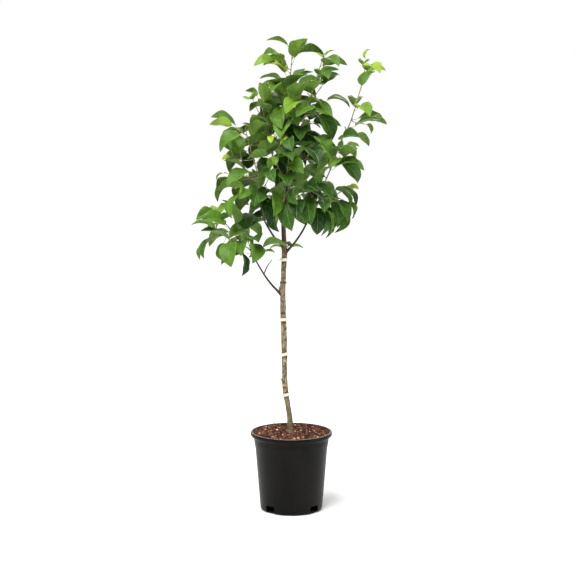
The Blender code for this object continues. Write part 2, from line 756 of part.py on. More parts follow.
def spray_twigs(paths):
    """Run every spray's stem and shoots; a shoot that would touch a limb or a stem is skipped."""
    stems = {name: stem_path(spray, paths) for name, spray in SPRAYS.items()}
    obstacles = {name: tree_of(limb_shape(name, paths)) for name in paths}
    for name, stem in stems.items():
        obstacles[name] = tree_of(tube(stem, STEM_SIDES))
    twigs = {}
    for name, spray in SPRAYS.items():
        others = [tree for key, tree in obstacles.items() if key != name]
        shoots = []
        for shoot in spray.shoots:
            path = shoot_path(stems[name], shoot)
            shape = tube(path, SHOOT_SIDES)
            if is_clear(shape, others):
                shoots.append((shoot, path))
                obstacles[len(obstacles)] = tree_of(shape)
        twigs[name] = (stems[name], shoots)
    return twigs, list(obstacles.values())


def grow_crown(paths):
    """Grow the leaves of every spray in turn, each clear of all that stands before it."""
    twigs, limbs = spray_twigs(paths)
    foliage = []
    crown = {}
    for name, (stem, shoots) in twigs.items():
        spray = SPRAYS[name]
        grown = []
        for twig, source in [(stem, spray), *((path, shoot) for shoot, path in shoots)]:
            for run, seed in leaf_runs(source.leaves, source.seeds):
                leaves, trees = grow_run(twig, source.leaves, run, seed, spray, stem, limbs, foliage)
                grown += leaves
                foliage += trees
        crown[name] = (stem, [path for shoot, path in shoots], grown)
    return crown


def make_sprays(paths, finish):
    """Fuse each spray's stem, shoots and leaves into one solid, cut clear of its limb."""
    for name, (stem, shoots, leaves) in grow_crown(paths).items():
        spray = SPRAYS[name]
        at_tip = spray.at == 1.0
        foot_direction = frames(paths[spray.limb])[-1][1] if at_tip else None
        mass = new_object(name, tube(stem, STEM_SIDES, foot_direction), finish)
        shapes = [tube(path, SHOOT_SIDES) for path in shoots]
        shapes += [leaf_shape(leaf) for leaf in leaves]
        fuse(mass, shapes)
        if not at_tip:
            cut(mass, limb_shape(spray.limb, paths, GAP))


def main():
    """Build the whole tree."""
    for piece in list(bpy.data.objects):
        bpy.data.objects.remove(piece)
    plastic = material("charcoal plastic", (0.022, 0.024, 0.028), 0.38)
    chips = material("bark chips", (0.16, 0.07, 0.04), 0.95)
    bark = material("pear bark", (0.26, 0.22, 0.14), 0.85)
    soft_tie = material("cream tie", (0.80, 0.76, 0.60), 0.7)
    leaf_green = material("pear leaf", (0.10, 0.24, 0.04), 0.45)
    paths = limb_paths()
    make_pot(plastic)
    make_soil(chips)
    make_limbs(paths, bark)
    make_ties(paths["trunk"], soft_tie)
    make_sprays(paths, leaf_green)


if __name__ == "__main__":
    main()
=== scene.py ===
"""Looks of the potted pear tree, built round its packed CAD frame.

Lengths are in metres and angles in degrees. +X is right and +Y is away as the tree is seen from its
front, and a bearing is turned from +X towards +Y. The leaves grow by the same seeded rule as the solids.
"""
import json
import math
import random
from collections import namedtuple

import bmesh
import bpy
import numpy as np
from bpy.props import FloatProperty, FloatVectorProperty, IntProperty, PointerProperty
from bpy.types import Operator, Panel, PropertyGroup
from mathutils import Matrix, Vector, noise
from mathutils.bvhtree import BVHTree

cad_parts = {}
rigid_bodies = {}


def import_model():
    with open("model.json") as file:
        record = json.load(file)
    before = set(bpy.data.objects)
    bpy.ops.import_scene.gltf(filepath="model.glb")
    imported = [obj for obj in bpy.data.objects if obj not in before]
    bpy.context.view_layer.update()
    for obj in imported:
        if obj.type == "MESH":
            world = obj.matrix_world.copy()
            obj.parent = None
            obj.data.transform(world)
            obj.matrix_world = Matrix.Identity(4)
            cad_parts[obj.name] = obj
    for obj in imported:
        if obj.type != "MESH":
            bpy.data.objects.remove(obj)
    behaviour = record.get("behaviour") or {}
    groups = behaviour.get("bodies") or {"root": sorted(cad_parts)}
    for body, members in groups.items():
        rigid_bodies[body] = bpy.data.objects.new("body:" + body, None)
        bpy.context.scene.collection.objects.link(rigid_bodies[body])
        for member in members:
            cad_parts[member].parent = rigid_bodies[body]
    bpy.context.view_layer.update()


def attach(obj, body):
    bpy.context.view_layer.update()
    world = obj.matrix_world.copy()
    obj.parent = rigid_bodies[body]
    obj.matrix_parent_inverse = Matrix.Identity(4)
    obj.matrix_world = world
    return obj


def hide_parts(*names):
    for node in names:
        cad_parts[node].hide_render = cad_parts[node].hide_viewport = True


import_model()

bl_info = {
    "name": "Potted pear tree",
    "version": (1, 0, 0),
    "blender": (4, 5, 0),
    "location": "3D View > Sidebar > Pear Tree",
    "description": "Dresses the frame of a young pear tree with its pot, soil, bark, ties, twigs and leaves",
    "category": "Object",
}

UP = Vector((0.0, 0.0, 1.0))
AXIS_FOOT = (0.0, 0.0, 0.0)
GAP = 0.0003
SAME_PLACE = 1e-6
SHARP_ANGLE = 40.0
SMALL_SHARP_ANGLE = 50.0

# Pot. The foot's round passes points so far in from its radius and so far up, and the lip's round passes
# points so far out from the mouth and so far down.
POT_HEIGHT = 0.233
RIM_RADIUS = 0.120
MOUTH_RADIUS = 0.112
RIM_DEPTH = 0.0135
RIM_ROUNDING = 0.0030
RIM_CORNER_RATIO = 0.3
RIM_LIP_DRAFT = 0.0005
LIP_ROUND = ((0.0016, 0.0003), (0.0004, 0.0012))
SHOULDER_RADIUS = 0.1115
SHOULDER_FOOT_RADIUS = 0.1077
SHOULDER_FOOT_Z = 0.189
STEP_RADIUS = 0.1062
STEP_Z = 0.186
STEP_INSET = 0.0003
WALL_TURN = 0.004
FOOT_RADIUS = 0.0920
FOOT_Z = 0.009
FOOT_TURN = 0.001
FOOT_ROUND = ((0.0022, 0.0030), (0.0004, 0.0066))
UNDERSIDE_RADIUS = 0.0845
STANDING_RING_WIDTH = 0.006
HOLLOW_INSET = 0.009
HOLLOW_HEIGHT = 0.0016
POT_WALL = 0.0018
POT_FLOOR = 0.004
NOTCH_BEARINGS = (47.0, 137.0, 227.0, 317.0)
NOTCH_WIDTH = 0.032
NOTCH_HEIGHT = 0.023
NOTCH_DEPTH = 0.016
NOTCH_ROUNDING = 0.004
RING_HEIGHTS = (0.2050, 0.2095)
RING_DEPTH = 0.0003
RING_HALF_WIDTH = 0.0016
RING_BOTTOM_HALF_WIDTH = 0.0005
MOULDED_EDGE_ANGLE = 25.0
# Painted highlight on the lip: the heights below the pot's top where it starts and where it is full
LIP_HIGHLIGHT_START = 0.0011
LIP_HIGHLIGHT_FULL = 0.0004
SOIL_TOP = 0.2270

# Limbs: stations of x, y, z and radius up each centre line
TRUNK = (
    (-0.0025, 0.0000, SOIL_TOP + GAP, 0.0118),
    (-0.0032, 0.0000, 0.2370, 0.0094),
    (-0.0050, 0.0005, 0.2749, 0.0080),
    (-0.0112, 0.0010, 0.3150, 0.0075),
    (-0.0172, 0.0010, 0.3500, 0.0082),
    (-0.0200, 0.0010, 0.4005, 0.0077),
    (-0.0208, 0.0005, 0.4689, 0.0083),
    (-0.0223, 0.0000, 0.5341, 0.0084),
    (-0.0246, 0.0000, 0.6100, 0.0083),
    (-0.0246, 0.0000, 0.6579, 0.0072),
    (-0.0210, 0.0000, 0.7500, 0.0076),
    (-0.0212, 0.0000, 0.7900, 0.0072),
    (-0.0236, 0.0000, 0.8508, 0.0064),
    (-0.0256, 0.0000, 0.9220, 0.0054),
)
LOW_LEFT_BOUGH = (
    (-0.0250, 0.0000, 0.6340, 0.0040),
    (-0.0570, -0.0060, 0.6680, 0.0030),
    (-0.0800, -0.0120, 0.7000, 0.0026),
    (-0.1040, -0.0200, 0.7420, 0.0022),
)
LEFT_BOUGH = (
    (-0.0220, 0.0000, 0.7810, 0.0040),
    (-0.0430, -0.0100, 0.7990, 0.0030),
    (-0.0660, -0.0220, 0.8350, 0.0027),
    (-0.0820, -0.0300, 0.8680, 0.0025),
    (-0.0890, -0.0350, 0.9030, 0.0023),
)
RIGHT_BOUGH = (
    (-0.0210, 0.0000, 0.7580, 0.0046),
    (-0.0040, -0.0050, 0.7760, 0.0036),
    (0.0160, -0.0120, 0.8010, 0.0031),
    (0.0380, -0.0200, 0.8380, 0.0028),
    (0.0550, -0.0250, 0.8830, 0.0026),
    (0.0680, -0.0300, 0.9110, 0.0025),
)
FORK_LEFT_BOUGH = (
    (-0.0250, 0.0000, 0.9000, 0.0040),
    (-0.0400, 0.0080, 0.9430, 0.0036),
    (-0.0460, 0.0160, 0.9710, 0.0033),
    (-0.0490, 0.0200, 1.0070, 0.0029),
)
FORK_BACK_BOUGH = (
    (-0.0246, 0.0000, 0.8700, 0.0036),
    (-0.0290, 0.0170, 0.9250, 0.0034),
    (-0.0330, 0.0300, 0.9700, 0.0030),
    (-0.0340, 0.0370, 1.0080, 0.0027),
)
LEADER = (
    (-0.0256, 0.0000, 0.9220 + GAP, 0.0046),
    (-0.0160, 0.0000, 0.9500, 0.0042),
    (-0.0030, 0.0000, 0.9870, 0.0038),
    (0.0010, 0.0000, 1.0300, 0.0034),
    (0.0060, 0.0000, 1.0590, 0.0032),
    (0.0160, 0.0000, 1.0850, 0.0029),
)
BARE_TWIG = (
    (-0.0800, -0.0120, 0.7000, 0.0018),
    (-0.0700, -0.0200, 0.7240, 0.0015),
    (-0.0570, -0.0240, 0.7420, 0.0010),
)
PRUNING_STUB = (
    (-0.0180, 0.0000, 0.3830, 0.0040),
    (-0.0300, -0.0020, 0.3880, 0.0032),
)
LIMBS = {
    "trunk": TRUNK,
    "low_left_bough": LOW_LEFT_BOUGH,
    "left_bough": LEFT_BOUGH,
    "right_bough": RIGHT_BOUGH,
    "fork_left_bough": FORK_LEFT_BOUGH,
    "fork_back_bough": FORK_BACK_BOUGH,
    "leader": LEADER,
}
TRUNK_SIDES = 12
BOUGH_SIDES = 8
STEM_SIDES = 5
SHOOT_SIDES = 4
RINGS_PER_SPAN = 2

# Stems and shoots that carry the leaves
STEM_RADIUS = 0.0026
STEM_TIP_RADIUS = 0.0011
STEM_TO_TIP_RATIO = 0.85
SHOOT_RADIUS = 0.0014
SHOOT_TIP_RADIUS = 0.0009
SHOOT_SAG = 0.10

# Ties round the trunk as they show: name, height, slant across the front and bearing of the loose end
TIES = (
    ("tie_low", 0.3430, 14.0, 205.0),
    ("tie_middle", 0.4635, 14.0, 205.0),
    ("tie_upper", 0.5665, 0.0, 80.0),
    ("tie_top", 0.7420, 4.0, 190.0),
)
TIE_HEIGHT = 0.0085
TIE_SLACK = 0.0005
TIE_SEARCH_RINGS = 8
TIE_EDGE_ROUND = 0.0004
TIE_EDGE_RATIO = 0.82
TIE_CROWN = 0.0001
TIE_STEPS = 40
TIE_CREASE = 0.0004
TIE_CREASE_SCALES = (300.0, 300.0, 90.0)
TIE_END_LENGTH = 0.0075
TIE_END_HEIGHT = 0.0045
TIE_END_THICKNESS = 0.0012
TIE_END_DROOP = 0.3
TIE_END_DROOP_BEND = 1.6
TIE_END_NARROWING = 0.35
TIE_END_CURL = 0.0008
TIE_END_CURL_RADIANS = 3.0
TIE_END_SPANS = 8
TIE_END_SIDES = 10

# Leaves, as in the solids: the stations are the places of the blade's corners along it, and each other pair
# of numbers is the range that one leaf's value is drawn from
Leaf = namedtuple("Leaf", "root base along up length arch")
LEAF_LENGTH = 0.085
LEAF_LENGTH_SPREAD = 0.14
LEAF_LENGTH_DRAW = (-1.0, 0.6)
YOUNG_LEAF_RATIO = 0.78
LEAF_WIDTH_RATIO = 0.66
LEAF_WIDTH_SKEW = 0.75
LEAF_WIDTH_FULLNESS = 0.8
LEAF_THICKNESS_RATIO = 0.020
LEAF_STATIONS = (0.24, 0.64)
LEAF_FOLD = 30.0
LEAF_BEARING = (-45.0, 45.0)
LEAF_LEAN = (40.0, 75.0)
TIP_LEAF_LEAN = (10.0, 35.0)
TIP_LEAN_LOSS = 55.0
STALK_DROOP = (0.0, 0.25)
BLADE_DROOP = (-0.20, 0.20)
FACE_OUTWARD = 0.35
LEAF_ROLL = (-40.0, 40.0)
LEAF_ARCH = (35.0, 92.0)
STALK_RADIUS = 0.0009
STALK_RATIO = 0.34
STALK_FREE_SHARE = 0.35
LEAF_CLEARANCE = 0.0012
LEAF_TRIES = 8
TURN_PER_LEAF = 137.5
FIRST_LEAF = 0.022
LAST_LEAF_SHARE = 0.97

# Each spray: the limb that carries it, where on the limb it starts (1 is the tip), the points that its
# stem passes, how far its leaves may reach from the stem, their size against LEAF_LENGTH, how much their
# blades turn down, the leaves on the stem with the seeds that share them out, and its shoots.
# Each shoot: where it leaves the stem, its bearing and rise, its length, its leaves and their seeds.
Spray = namedtuple("Spray", "limb at route reach size droop leaves seeds shoots")
Shoot = namedtuple("Shoot", "at bearing rise length leaves seeds")
SPRAYS = {
    "low_left_spray": Spray("low_left_bough", 1.0, (
        (-0.120, -0.025, 0.772), (-0.140, -0.035, 0.789), (-0.174, -0.045, 0.832), (-0.213, -0.055, 0.881),
    ), 0.14, 1.0, 0.30, 9, (185, 154, 189, 78), (
        Shoot(0.12, 190, 75, 0.060, 4, (99,)),
        Shoot(0.35, 240, 0, 0.085, 5, (93, 13)),
        Shoot(0.50, 90, 30, 0.090, 5, (179,)),
        Shoot(0.60, 205, -5, 0.055, 5, (64, 54)),
        Shoot(0.06, 310, 20, 0.035, 3, (72, 9)),
    )),
    "left_spray": Spray("left_bough", 1.0, (
        (-0.093, -0.040, 0.955), (-0.100, -0.045, 1.004), (-0.113, -0.050, 1.047), (-0.131, -0.050, 1.120),
    ), 0.14, 1.0, 0.22, 9, (15, 252, 120, 15, 121), (
        Shoot(0.12, 230, 15, 0.075, 4, (137,)),
        Shoot(0.20, 295, 30, 0.090, 4, (199,)),
        Shoot(0.35, 190, 10, 0.095, 5, (54, 167)),
        Shoot(0.40, 120, 0, 0.105, 5, (118,)),
        Shoot(0.60, 165, 5, 0.060, 4, (29, 29)),
        Shoot(0.92, 190, 40, 0.030, 2, (3, 249)),
    )),
    "upper_left_spray": Spray("fork_left_bough", 1.0, (
        (-0.058, 0.020, 1.058), (-0.073, 0.010, 1.130), (-0.090, 0.000, 1.202),
    ), 0.14, 1.0, 0.16, 7, (90, 237, 131), (
        Shoot(0.25, 280, 25, 0.100, 4, (230,)),
        Shoot(0.30, 205, 20, 0.070, 4, (145,)),
        Shoot(0.40, 105, 25, 0.085, 5, (109,)),
        Shoot(0.55, 295, 50, 0.090, 5, (140,)),
        Shoot(0.75, 245, 30, 0.070, 3, (130,)),
    )),
    "top_spray": Spray("leader", 0.72, (
        (-0.010, -0.002, 1.073), (-0.014, -0.003, 1.145), (-0.007, -0.002, 1.216), (0.003, 0.000, 1.350),
    ), 0.13, 1.0, 0.10, 14, (201, 144, 44, 100, 29, 128, 33), (
        Shoot(0.35, 305, 35, 0.085, 5, (251,)),
        Shoot(0.45, 220, 50, 0.065, 4, (87,)),
        Shoot(0.50, 85, 30, 0.095, 5, (28,)),
        Shoot(0.80, 195, 35, 0.035, 3, (74, 181)),
    )),
    "top_right_spray": Spray("leader", 1.0, (
        (0.027, -0.010, 1.116), (0.041, -0.020, 1.168), (0.067, -0.025, 1.253), (0.090, -0.025, 1.322),
    ), 0.13, 0.95, 0.08, 12, (191, 25, 47, 7, 51, 80), (
        Shoot(0.15, 330, -20, 0.065, 4, (132,)),
        Shoot(0.40, 320, 15, 0.065, 4, (128,)),
        Shoot(0.55, 70, 15, 0.090, 4, (248,)),
    )),
    "right_low_spray": Spray("right_bough", 0.90, (
        (0.082, -0.035, 0.917), (0.110, -0.040, 0.932), (0.147, -0.050, 0.918),
    ), 0.13, 0.95, 0.32, 7, (209, 141, 50), (
        Shoot(0.15, 260, 30, 0.085, 4, (115,)),
        Shoot(0.30, 280, -5, 0.065, 4, (36, 105)),
        Shoot(0.40, 75, -10, 0.105, 5, (247,)),
        Shoot(0.50, 40, 15, 0.080, 4, (186,)),
    )),
    "right_high_spray": Spray("right_bough", 1.0, (
        (0.096, -0.035, 0.969), (0.117, -0.040, 1.020), (0.141, -0.040, 1.085), (0.168, -0.040, 1.140),
        (0.201, -0.040, 1.253), (0.211, -0.040, 1.310),
    ), 0.13, 1.0, 0.12, 16, (236, 123, 234, 85, 131, 80, 45, 80), (
        Shoot(0.28, 295, 15, 0.050, 4, (16,)),
        Shoot(0.30, 80, 5, 0.080, 4, (222,)),
        Shoot(0.60, 340, -15, 0.035, 2, (151, 68)),
    )),
    "front_spray": Spray("trunk", 0.92, (
        (-0.019, -0.030, 0.894), (-0.004, -0.080, 0.926), (0.004, -0.120, 0.949),
    ), 0.13, 1.0, 0.36, 5, (137, 118), (
        Shoot(0.50, 220, 15, 0.065, 4, (30,)),
        Shoot(0.60, 325, 30, 0.080, 5, (222,)),
    )),
    "front_high_spray": Spray("trunk", 0.955, (
        (-0.019, -0.040, 0.946), (-0.010, -0.080, 1.020), (-0.004, -0.100, 1.085),
    ), 0.14, 1.0, 0.28, 7, (158, 88), (
        Shoot(0.50, 240, 40, 0.090, 5, (20,)),
        Shoot(0.60, 330, 35, 0.095, 5, (170,)),
    )),
    "back_spray": Spray("trunk", 0.89, (
        (-0.016, 0.030, 0.866), (-0.001, 0.080, 0.891), (0.011, 0.120, 0.918),
    ), 0.14, 1.0, 0.40, 5, (239,), (
        Shoot(0.45, 140, 30, 0.080, 5, (17,)),
        Shoot(0.55, 30, 30, 0.095, 5, (103,)),
    )),
    "back_high_spray": Spray("fork_back_bough", 1.0, (
        (-0.033, 0.045, 1.063), (-0.025, 0.070, 1.129), (-0.010, 0.090, 1.201),
    ), 0.14, 1.0, 0.20, 7, (25, 152), (
        Shoot(0.15, 50, 5, 0.105, 5, (191,)),
        Shoot(0.40, 130, 20, 0.100, 5, (77,)),
        Shoot(0.50, 30, 15, 0.100, 5, (94,)),
    )),
    "trunk_spray": Spray("trunk", 0.755, (
        (-0.019, 0.014, 0.759), (-0.015, 0.026, 0.772),
    ), 0.08, 0.5, 0.35, 4, (65, 84), ()),
}

# Leaves as they show: their finishes from the oldest tone to the youngest, each spray's share of them, and
# the seed that deals them out. The shares are partly age and partly painted light: inner, front and low
# sprays take darker tones as painted shade, and top and outer sprays take fresh and young tones as painted
# sunlight.
TONES = ("deep", "grown", "middle", "fresh", "silvery", "young")
SPRAY_TONES = {
    "low_left_spray": (0.08, 0.34, 0.34, 0.12, 0.12, 0.00),
    "left_spray": (0.12, 0.32, 0.30, 0.12, 0.06, 0.08),
    "upper_left_spray": (0.16, 0.32, 0.30, 0.14, 0.06, 0.02),
    "top_spray": (0.10, 0.24, 0.26, 0.20, 0.00, 0.20),
    "top_right_spray": (0.10, 0.26, 0.30, 0.22, 0.00, 0.12),
    "right_low_spray": (0.24, 0.46, 0.26, 0.04, 0.00, 0.00),
    "right_high_spray": (0.06, 0.24, 0.30, 0.20, 0.00, 0.20),
    "front_spray": (0.60, 0.32, 0.08, 0.00, 0.00, 0.00),
    "front_high_spray": (0.42, 0.36, 0.18, 0.04, 0.00, 0.00),
    "back_spray": (0.40, 0.38, 0.18, 0.04, 0.00, 0.00),
    "back_high_spray": (0.30, 0.38, 0.24, 0.08, 0.00, 0.00),
    "trunk_spray": (0.10, 0.50, 0.40, 0.00, 0.00, 0.00),
}
TONE_SEED = 1
DARK_TWIG_SPRAYS = ("low_left_spray", "right_low_spray", "front_spray", "back_spray", "trunk_spray")
LOOK_SEED = 41
BLADE_STATIONS = (0.0, 0.02, 0.06, 0.12, 0.20, 0.29, 0.38, 0.47, 0.56, 0.65, 0.74, 0.82, 0.89, 0.95)
UPPER_FACE = 0
UNDER_FACE = 1
RIB_FACE = 2
RIB_COLUMN = 0.05
BLADE_COLUMNS = (-1.0, -0.62, -RIB_COLUMN, RIB_COLUMN, 0.62, 1.0)
BLADE_FOLD = 22.0
BLADE_TIP_DRAW_IN = 0.34
BLADE_TIP_SHARPNESS = 8
BLADE_BULGE = (0.30, 1.00)
EDGE_RIPPLE = 0.10
EDGE_WAVES = (1.2, 2.4)
MARGIN_YOUTH = 0.35
# The undersides' own paler green, with a painted glow of light shining through the blade
UNDERSIDE_PALING_AND_GLOW = 0.40
RIB_HALF_WIDTH = 0.0005
RIB_DEPTH = 0.0006
STALK_SIDES = 5
STALK_BOW = 0.07
STALK_PROFILE = ((0.0, 1.25), (0.15, 0.95), (0.5, 0.78), (0.85, 0.78), (1.06, 0.9))
AGE_FROM_PLACE = 0.50
SHOOT_AGE = 0.62
TIP_SHOOT_START = 0.7

# Young leaves, buds and spurs
TIP_LEAVES = 2
TIP_LEAF_SIZE = (0.30, 0.52)
TIP_LEAF_YOUNG_SHARE = 0.5
BUD_SIDES = 6
BUD_PROFILE = ((-0.25, 0.55), (0.15, 1.0), (0.5, 0.85), (0.8, 0.4))
BUD_WIDTH_RATIO = 0.28
BUD_LEAN = 0.55
BUD_RISE = 0.0016
TERMINAL_BUD_RATIO = 1.35
SPURS_PER_STEM = 3
SPUR_PLACES = (0.15, 0.75)
SPUR_LENGTH = (0.007, 0.014)
SPUR_RISE = 0.6
SPUR_RADIUS = 0.0015
SPUR_RINGS = 10
SPUR_SWELLS = (0.85, 1.15)
SPUR_BUD_RATIO = 1.2
TWIG_SIDES = 8
TWIG_RINGS_PER_SPAN = 4

# Bark: height, bearing, how far it stands out and how far it spreads, of each knot on the trunk, and of
# the swelling where its lowest bough starts
KNOTS = (
    (0.2900, 95.0, 0.0008, 0.006),
    (0.3020, 200.0, 0.0012, 0.005),
    (0.3580, 350.0, 0.0008, 0.012),
    (0.3660, 250.0, 0.0006, 0.004),
    (0.3850, 170.0, 0.0018, 0.009),
    (0.4080, 30.0, 0.0008, 0.006),
    (0.4280, 275.0, 0.0006, 0.005),
    (0.4550, 340.0, 0.0010, 0.010),
    (0.4770, 250.0, 0.0010, 0.008),
    (0.5050, 300.0, 0.0006, 0.005),
    (0.5400, 320.0, 0.0011, 0.006),
    (0.5550, 262.0, 0.0007, 0.006),
    (0.5850, 240.0, 0.0006, 0.005),
    (0.6030, 320.0, 0.0012, 0.006),
    (0.6200, 275.0, 0.0006, 0.004),
    (0.6740, 195.0, 0.0026, 0.0032),
    (0.6740, 275.0, 0.0008, 0.0032),
    (0.6740, 355.0, 0.0028, 0.0032),
    (0.6900, 275.0, 0.0012, 0.007),
    (0.7120, 245.0, 0.0007, 0.005),
    (0.7270, 300.0, 0.0007, 0.004),
    (0.7580, 345.0, 0.0016, 0.011),
    (0.7810, 190.0, 0.0014, 0.011),
    (0.8400, 300.0, 0.0008, 0.006),
    (0.8700, 95.0, 0.0010, 0.009),
)
BOUGH_SWELLING = (0.6540, 185.0, 0.0054, 0.011)
KNOT_FADE = 2.2
FAINTEST = 0.01
TRUNK_MIDDLE_X = -0.020
KNOT_STAIN = 0.90
KNOT_STAIN_SPREAD = 0.6
KNOT_STAIN_FADE = 3.0
# Dirt and painted shade along the ties' edges: darkest just under each tie, half as dark just over it
TIE_SHADE_AND_STAIN = 0.95
TIE_SHADE_AND_STAIN_OFFSET = 0.0015
TIE_SHADE_AND_STAIN_BELOW = 0.0030
TIE_SHADE_AND_STAIN_ABOVE = 0.0025
LUMP_SCALES = (90.0, 90.0, 38.0)
WRINKLE_SCALES = (260.0, 260.0, 120.0)
WRINKLE_SHARE = 0.5
TRUNK_SEED = 0
STUB_SEED = 3
FIRST_BOUGH_SEED = 10
BARE_TWIG_SEED = 31
TRUNK_FINE_SIDES = 28
TRUNK_FINE_RINGS = 20
BOUGH_FINE_SIDES = 16
BOUGH_FINE_RINGS = 9
BURIED_FOOT = (-0.0023, 0.0000, SOIL_TOP - 0.007, 0.0118)
FLARE_LOBES = 4
FLARE_DEPTH = 0.02
FLARE_HEIGHT = 0.010
COLLAR_SWELL = 0.38
COLLAR_START = 0.006
COLLAR_LENGTH = 0.009
LEADER_SINK = 0.012

# Soil: each set of heaps on its bed has its number to the metre, the layer of noise that it is read from
# and its share of the relief
BED_TOP = SOIL_TOP + 0.0015
BED_RADIUS = MOUTH_RADIUS - 0.0012
BED_MARGIN = 0.001
BED_RINGS = 12
BED_STEPS = 72
BED_HEAPS = ((55.0, 1.7, 1.0), (160.0, 4.1, 0.5))

# Bark chips in four tones, with each tone's share of them. Their lengths are shares of the longest chip's,
# and their widths, thicknesses and room are shares of their own length.
CHIP_TONES = {"red": 0.44, "dark": 0.35, "tan": 0.16, "pale": 0.05}
CHIP_SEED = 7
CHIP_LENGTHS = (0.30, 1.0)
CHIP_LENGTH_BIAS = 1.3
CHIP_WIDTHS = (0.35, 0.80)
CHIP_THICKNESSES = (0.18, 0.42)
CHIP_TAPER = 0.30
CHIP_TILT_RADIANS = 0.45
CHIP_ROOM = 0.20
CHIP_SEAT = 0.3
CHIP_HEAP = 0.0022
CHIP_CORNERS = (
    (-1, -1, -1), (1, -1, -1), (1, 1, -1), (-1, 1, -1), (-1, -1, 1), (1, -1, 1), (1, 1, 1), (-1, 1, 1),
)
CHIP_FACES = ((0, 3, 2, 1), (4, 5, 6, 7), (0, 1, 5, 4), (1, 2, 6, 5), (2, 3, 7, 6), (3, 0, 4, 7))

# Camera: where the photograph was taken from, found from the ellipses of the pot
CAMERA_X = -0.010
CAMERA_DISTANCE = 4.5
CAMERA_HEIGHT = 1.236
CAMERA_PITCH = 7.32
CAMERA_FOCUS_IN_PIXELS = 1557.0
PHOTO_WIDTH = 576
SENSOR_WIDTH = 36.0
FARTHEST_SEEN = 100.0

# Lamps: place, what it looks at, width and height, and the setting that gives its power
LAMPS = {
    "key": ((-0.8, -2.4, 4.2), (0.0, 0.0, 0.9), (1.6, 1.6), "key"),
    "left side": ((-2.6, -1.0, 1.3), (0.0, 0.0, 0.7), (0.8, 2.4), "sides"),
    "right side": ((2.6, -1.0, 0.7), (0.0, 0.0, 0.2), (0.8, 1.4), "sides"),
    "back": ((0.9, 2.6, 3.0), (0.0, 0.0, 1.0), (1.8, 1.8), "back"),
}
SUN_PLACE = (-0.45, -0.60, 3.0)
SUN_SPREAD = 30.0
SKY_COLOUR = (1.0, 0.995, 0.98, 1.0)
BACKDROP_COLOUR = (1.0, 1.0, 1.0, 1.0)
FLOOR_STEPS = 96
FLOOR_ROUGHNESS = 0.7
FLOOR_GLOSS = 0.2

# Finishes. A grain is a noise with its stretch along the axes, its scale, detail and roughness. A spread
# is the two values that a noise turns into, and the two places in the noise where it reaches them. A
# relief is a strength and a depth. A plain finish has a roughness, the scale and depth of its grain, and a
# gloss. The bark's grains are multiples of each bark's own scale. The mix numbers are the places of the
# sockets for colours on a Mix node.
Grain = namedtuple("Grain", "stretch scale detail roughness")
Spread = namedtuple("Spread", "low high start end")
Relief = namedtuple("Relief", "strength depth")
Plain = namedtuple("Plain", "roughness scale depth gloss")
EVEN = (1.0, 1.0, 1.0)
MIX_FACTOR = 0
MIX_FIRST = 6
MIX_SECOND = 7
MIX_RESULT = 2
BARK_GLOSS = 0.3
BARK_BLOTCHES = Grain((1.0, 1.0, 0.55), 1.0, 6.0, 0.70)
BARK_PATCHES = Grain((1.0, 1.0, 0.45), 0.22, 3.0, 0.5)
BARK_STREAKS = Grain((1.0, 1.0, 0.12), 5.0, 5.0, 0.6)
BARK_RINGS = Grain((0.35, 0.35, 1.0), 3.0, 3.0, 0.5)
BARK_STOPS = (0.40, 0.50, 0.60)
BARK_STREAK_SHADE = Spread(0.75, 0.0, 0.36, 0.56)
BARK_PATCH_SHADE = Spread(0.50, 0.0, 0.36, 0.56)
BARK_PORE_STRETCH = (1.0, 1.0, 1.7)
BARK_PORES = Spread(0.7, 0.0, 0.10, 0.22)
BARK_ROUGHNESS = (0.70, 0.92)
BLOTCH_RELIEF = Relief(0.9, 0.0010)
STREAK_RELIEF = Relief(0.9, 0.0005)
RING_RELIEF = Relief(0.4, 0.0005)
PORE_RELIEF = Relief(0.6, 0.0004)
CROWN_TINT = Spread(0.0, 0.80, 0.71, 0.80)
FOOT_TINT = Spread(0.0, 0.60, 0.36, 0.30)
TRUNK_BARK_SCALE = 170.0
TRUNK_PORE_SCALE = 240.0
BOUGH_BARK_SCALE = 110.0
BOUGH_PORE_SCALE = 300.0
TWIG_BARK_SCALE = 160.0
TWIG_PORE_SCALE = 420.0
LEAF_GLOSS = 0.16
LEAF_CLOUDS = Grain(EVEN, 30.0, 3.0, 0.55)
LEAF_PATCHES = Grain(EVEN, 60.0, 3.0, 0.55)
LEAF_GRAIN = Grain(EVEN, 200.0, 2.0, 0.55)
LEAF_DULLEST = 0.10
LEAF_GLOSSIEST = -0.06
CLOUD_SHADE = 0.66
CLOUD_SPREAD = Spread(0.0, 1.0, 0.38, 0.66)
VEIN_SLANT = -0.30
VEIN_PAIRS = 9.0
VEIN_WIDTH = Spread(0.0, 1.0, 0.0, 0.35)
VEIN_PALING = 0.22
VEIN_DEPTH = 0.0006
VEIN_STRENGTH = 0.55
UNDERSIDE_VEIN_STRENGTH = 0.8
UNDERSIDE_DULLING = 0.15
LEAF_GRAIN_RELIEF = Relief(0.10, 0.0003)
EDGE_PALING = Spread(0.0, 0.50, 0.80, 1.0)
PLASTIC_GLOSS = 0.10
PLASTIC_DUST = Grain((1.0, 1.0, 0.6), 14.0, 6.0, 0.6)
PLASTIC_SCUFFS = Grain((1.0, 1.0, 0.15), 120.0, 5.0, 0.6)
PLASTIC_GRAIN = Grain(EVEN, 900.0, 2.0, 0.55)
DUST_SPREAD = Spread(0.0, 0.45, 0.42, 0.75)
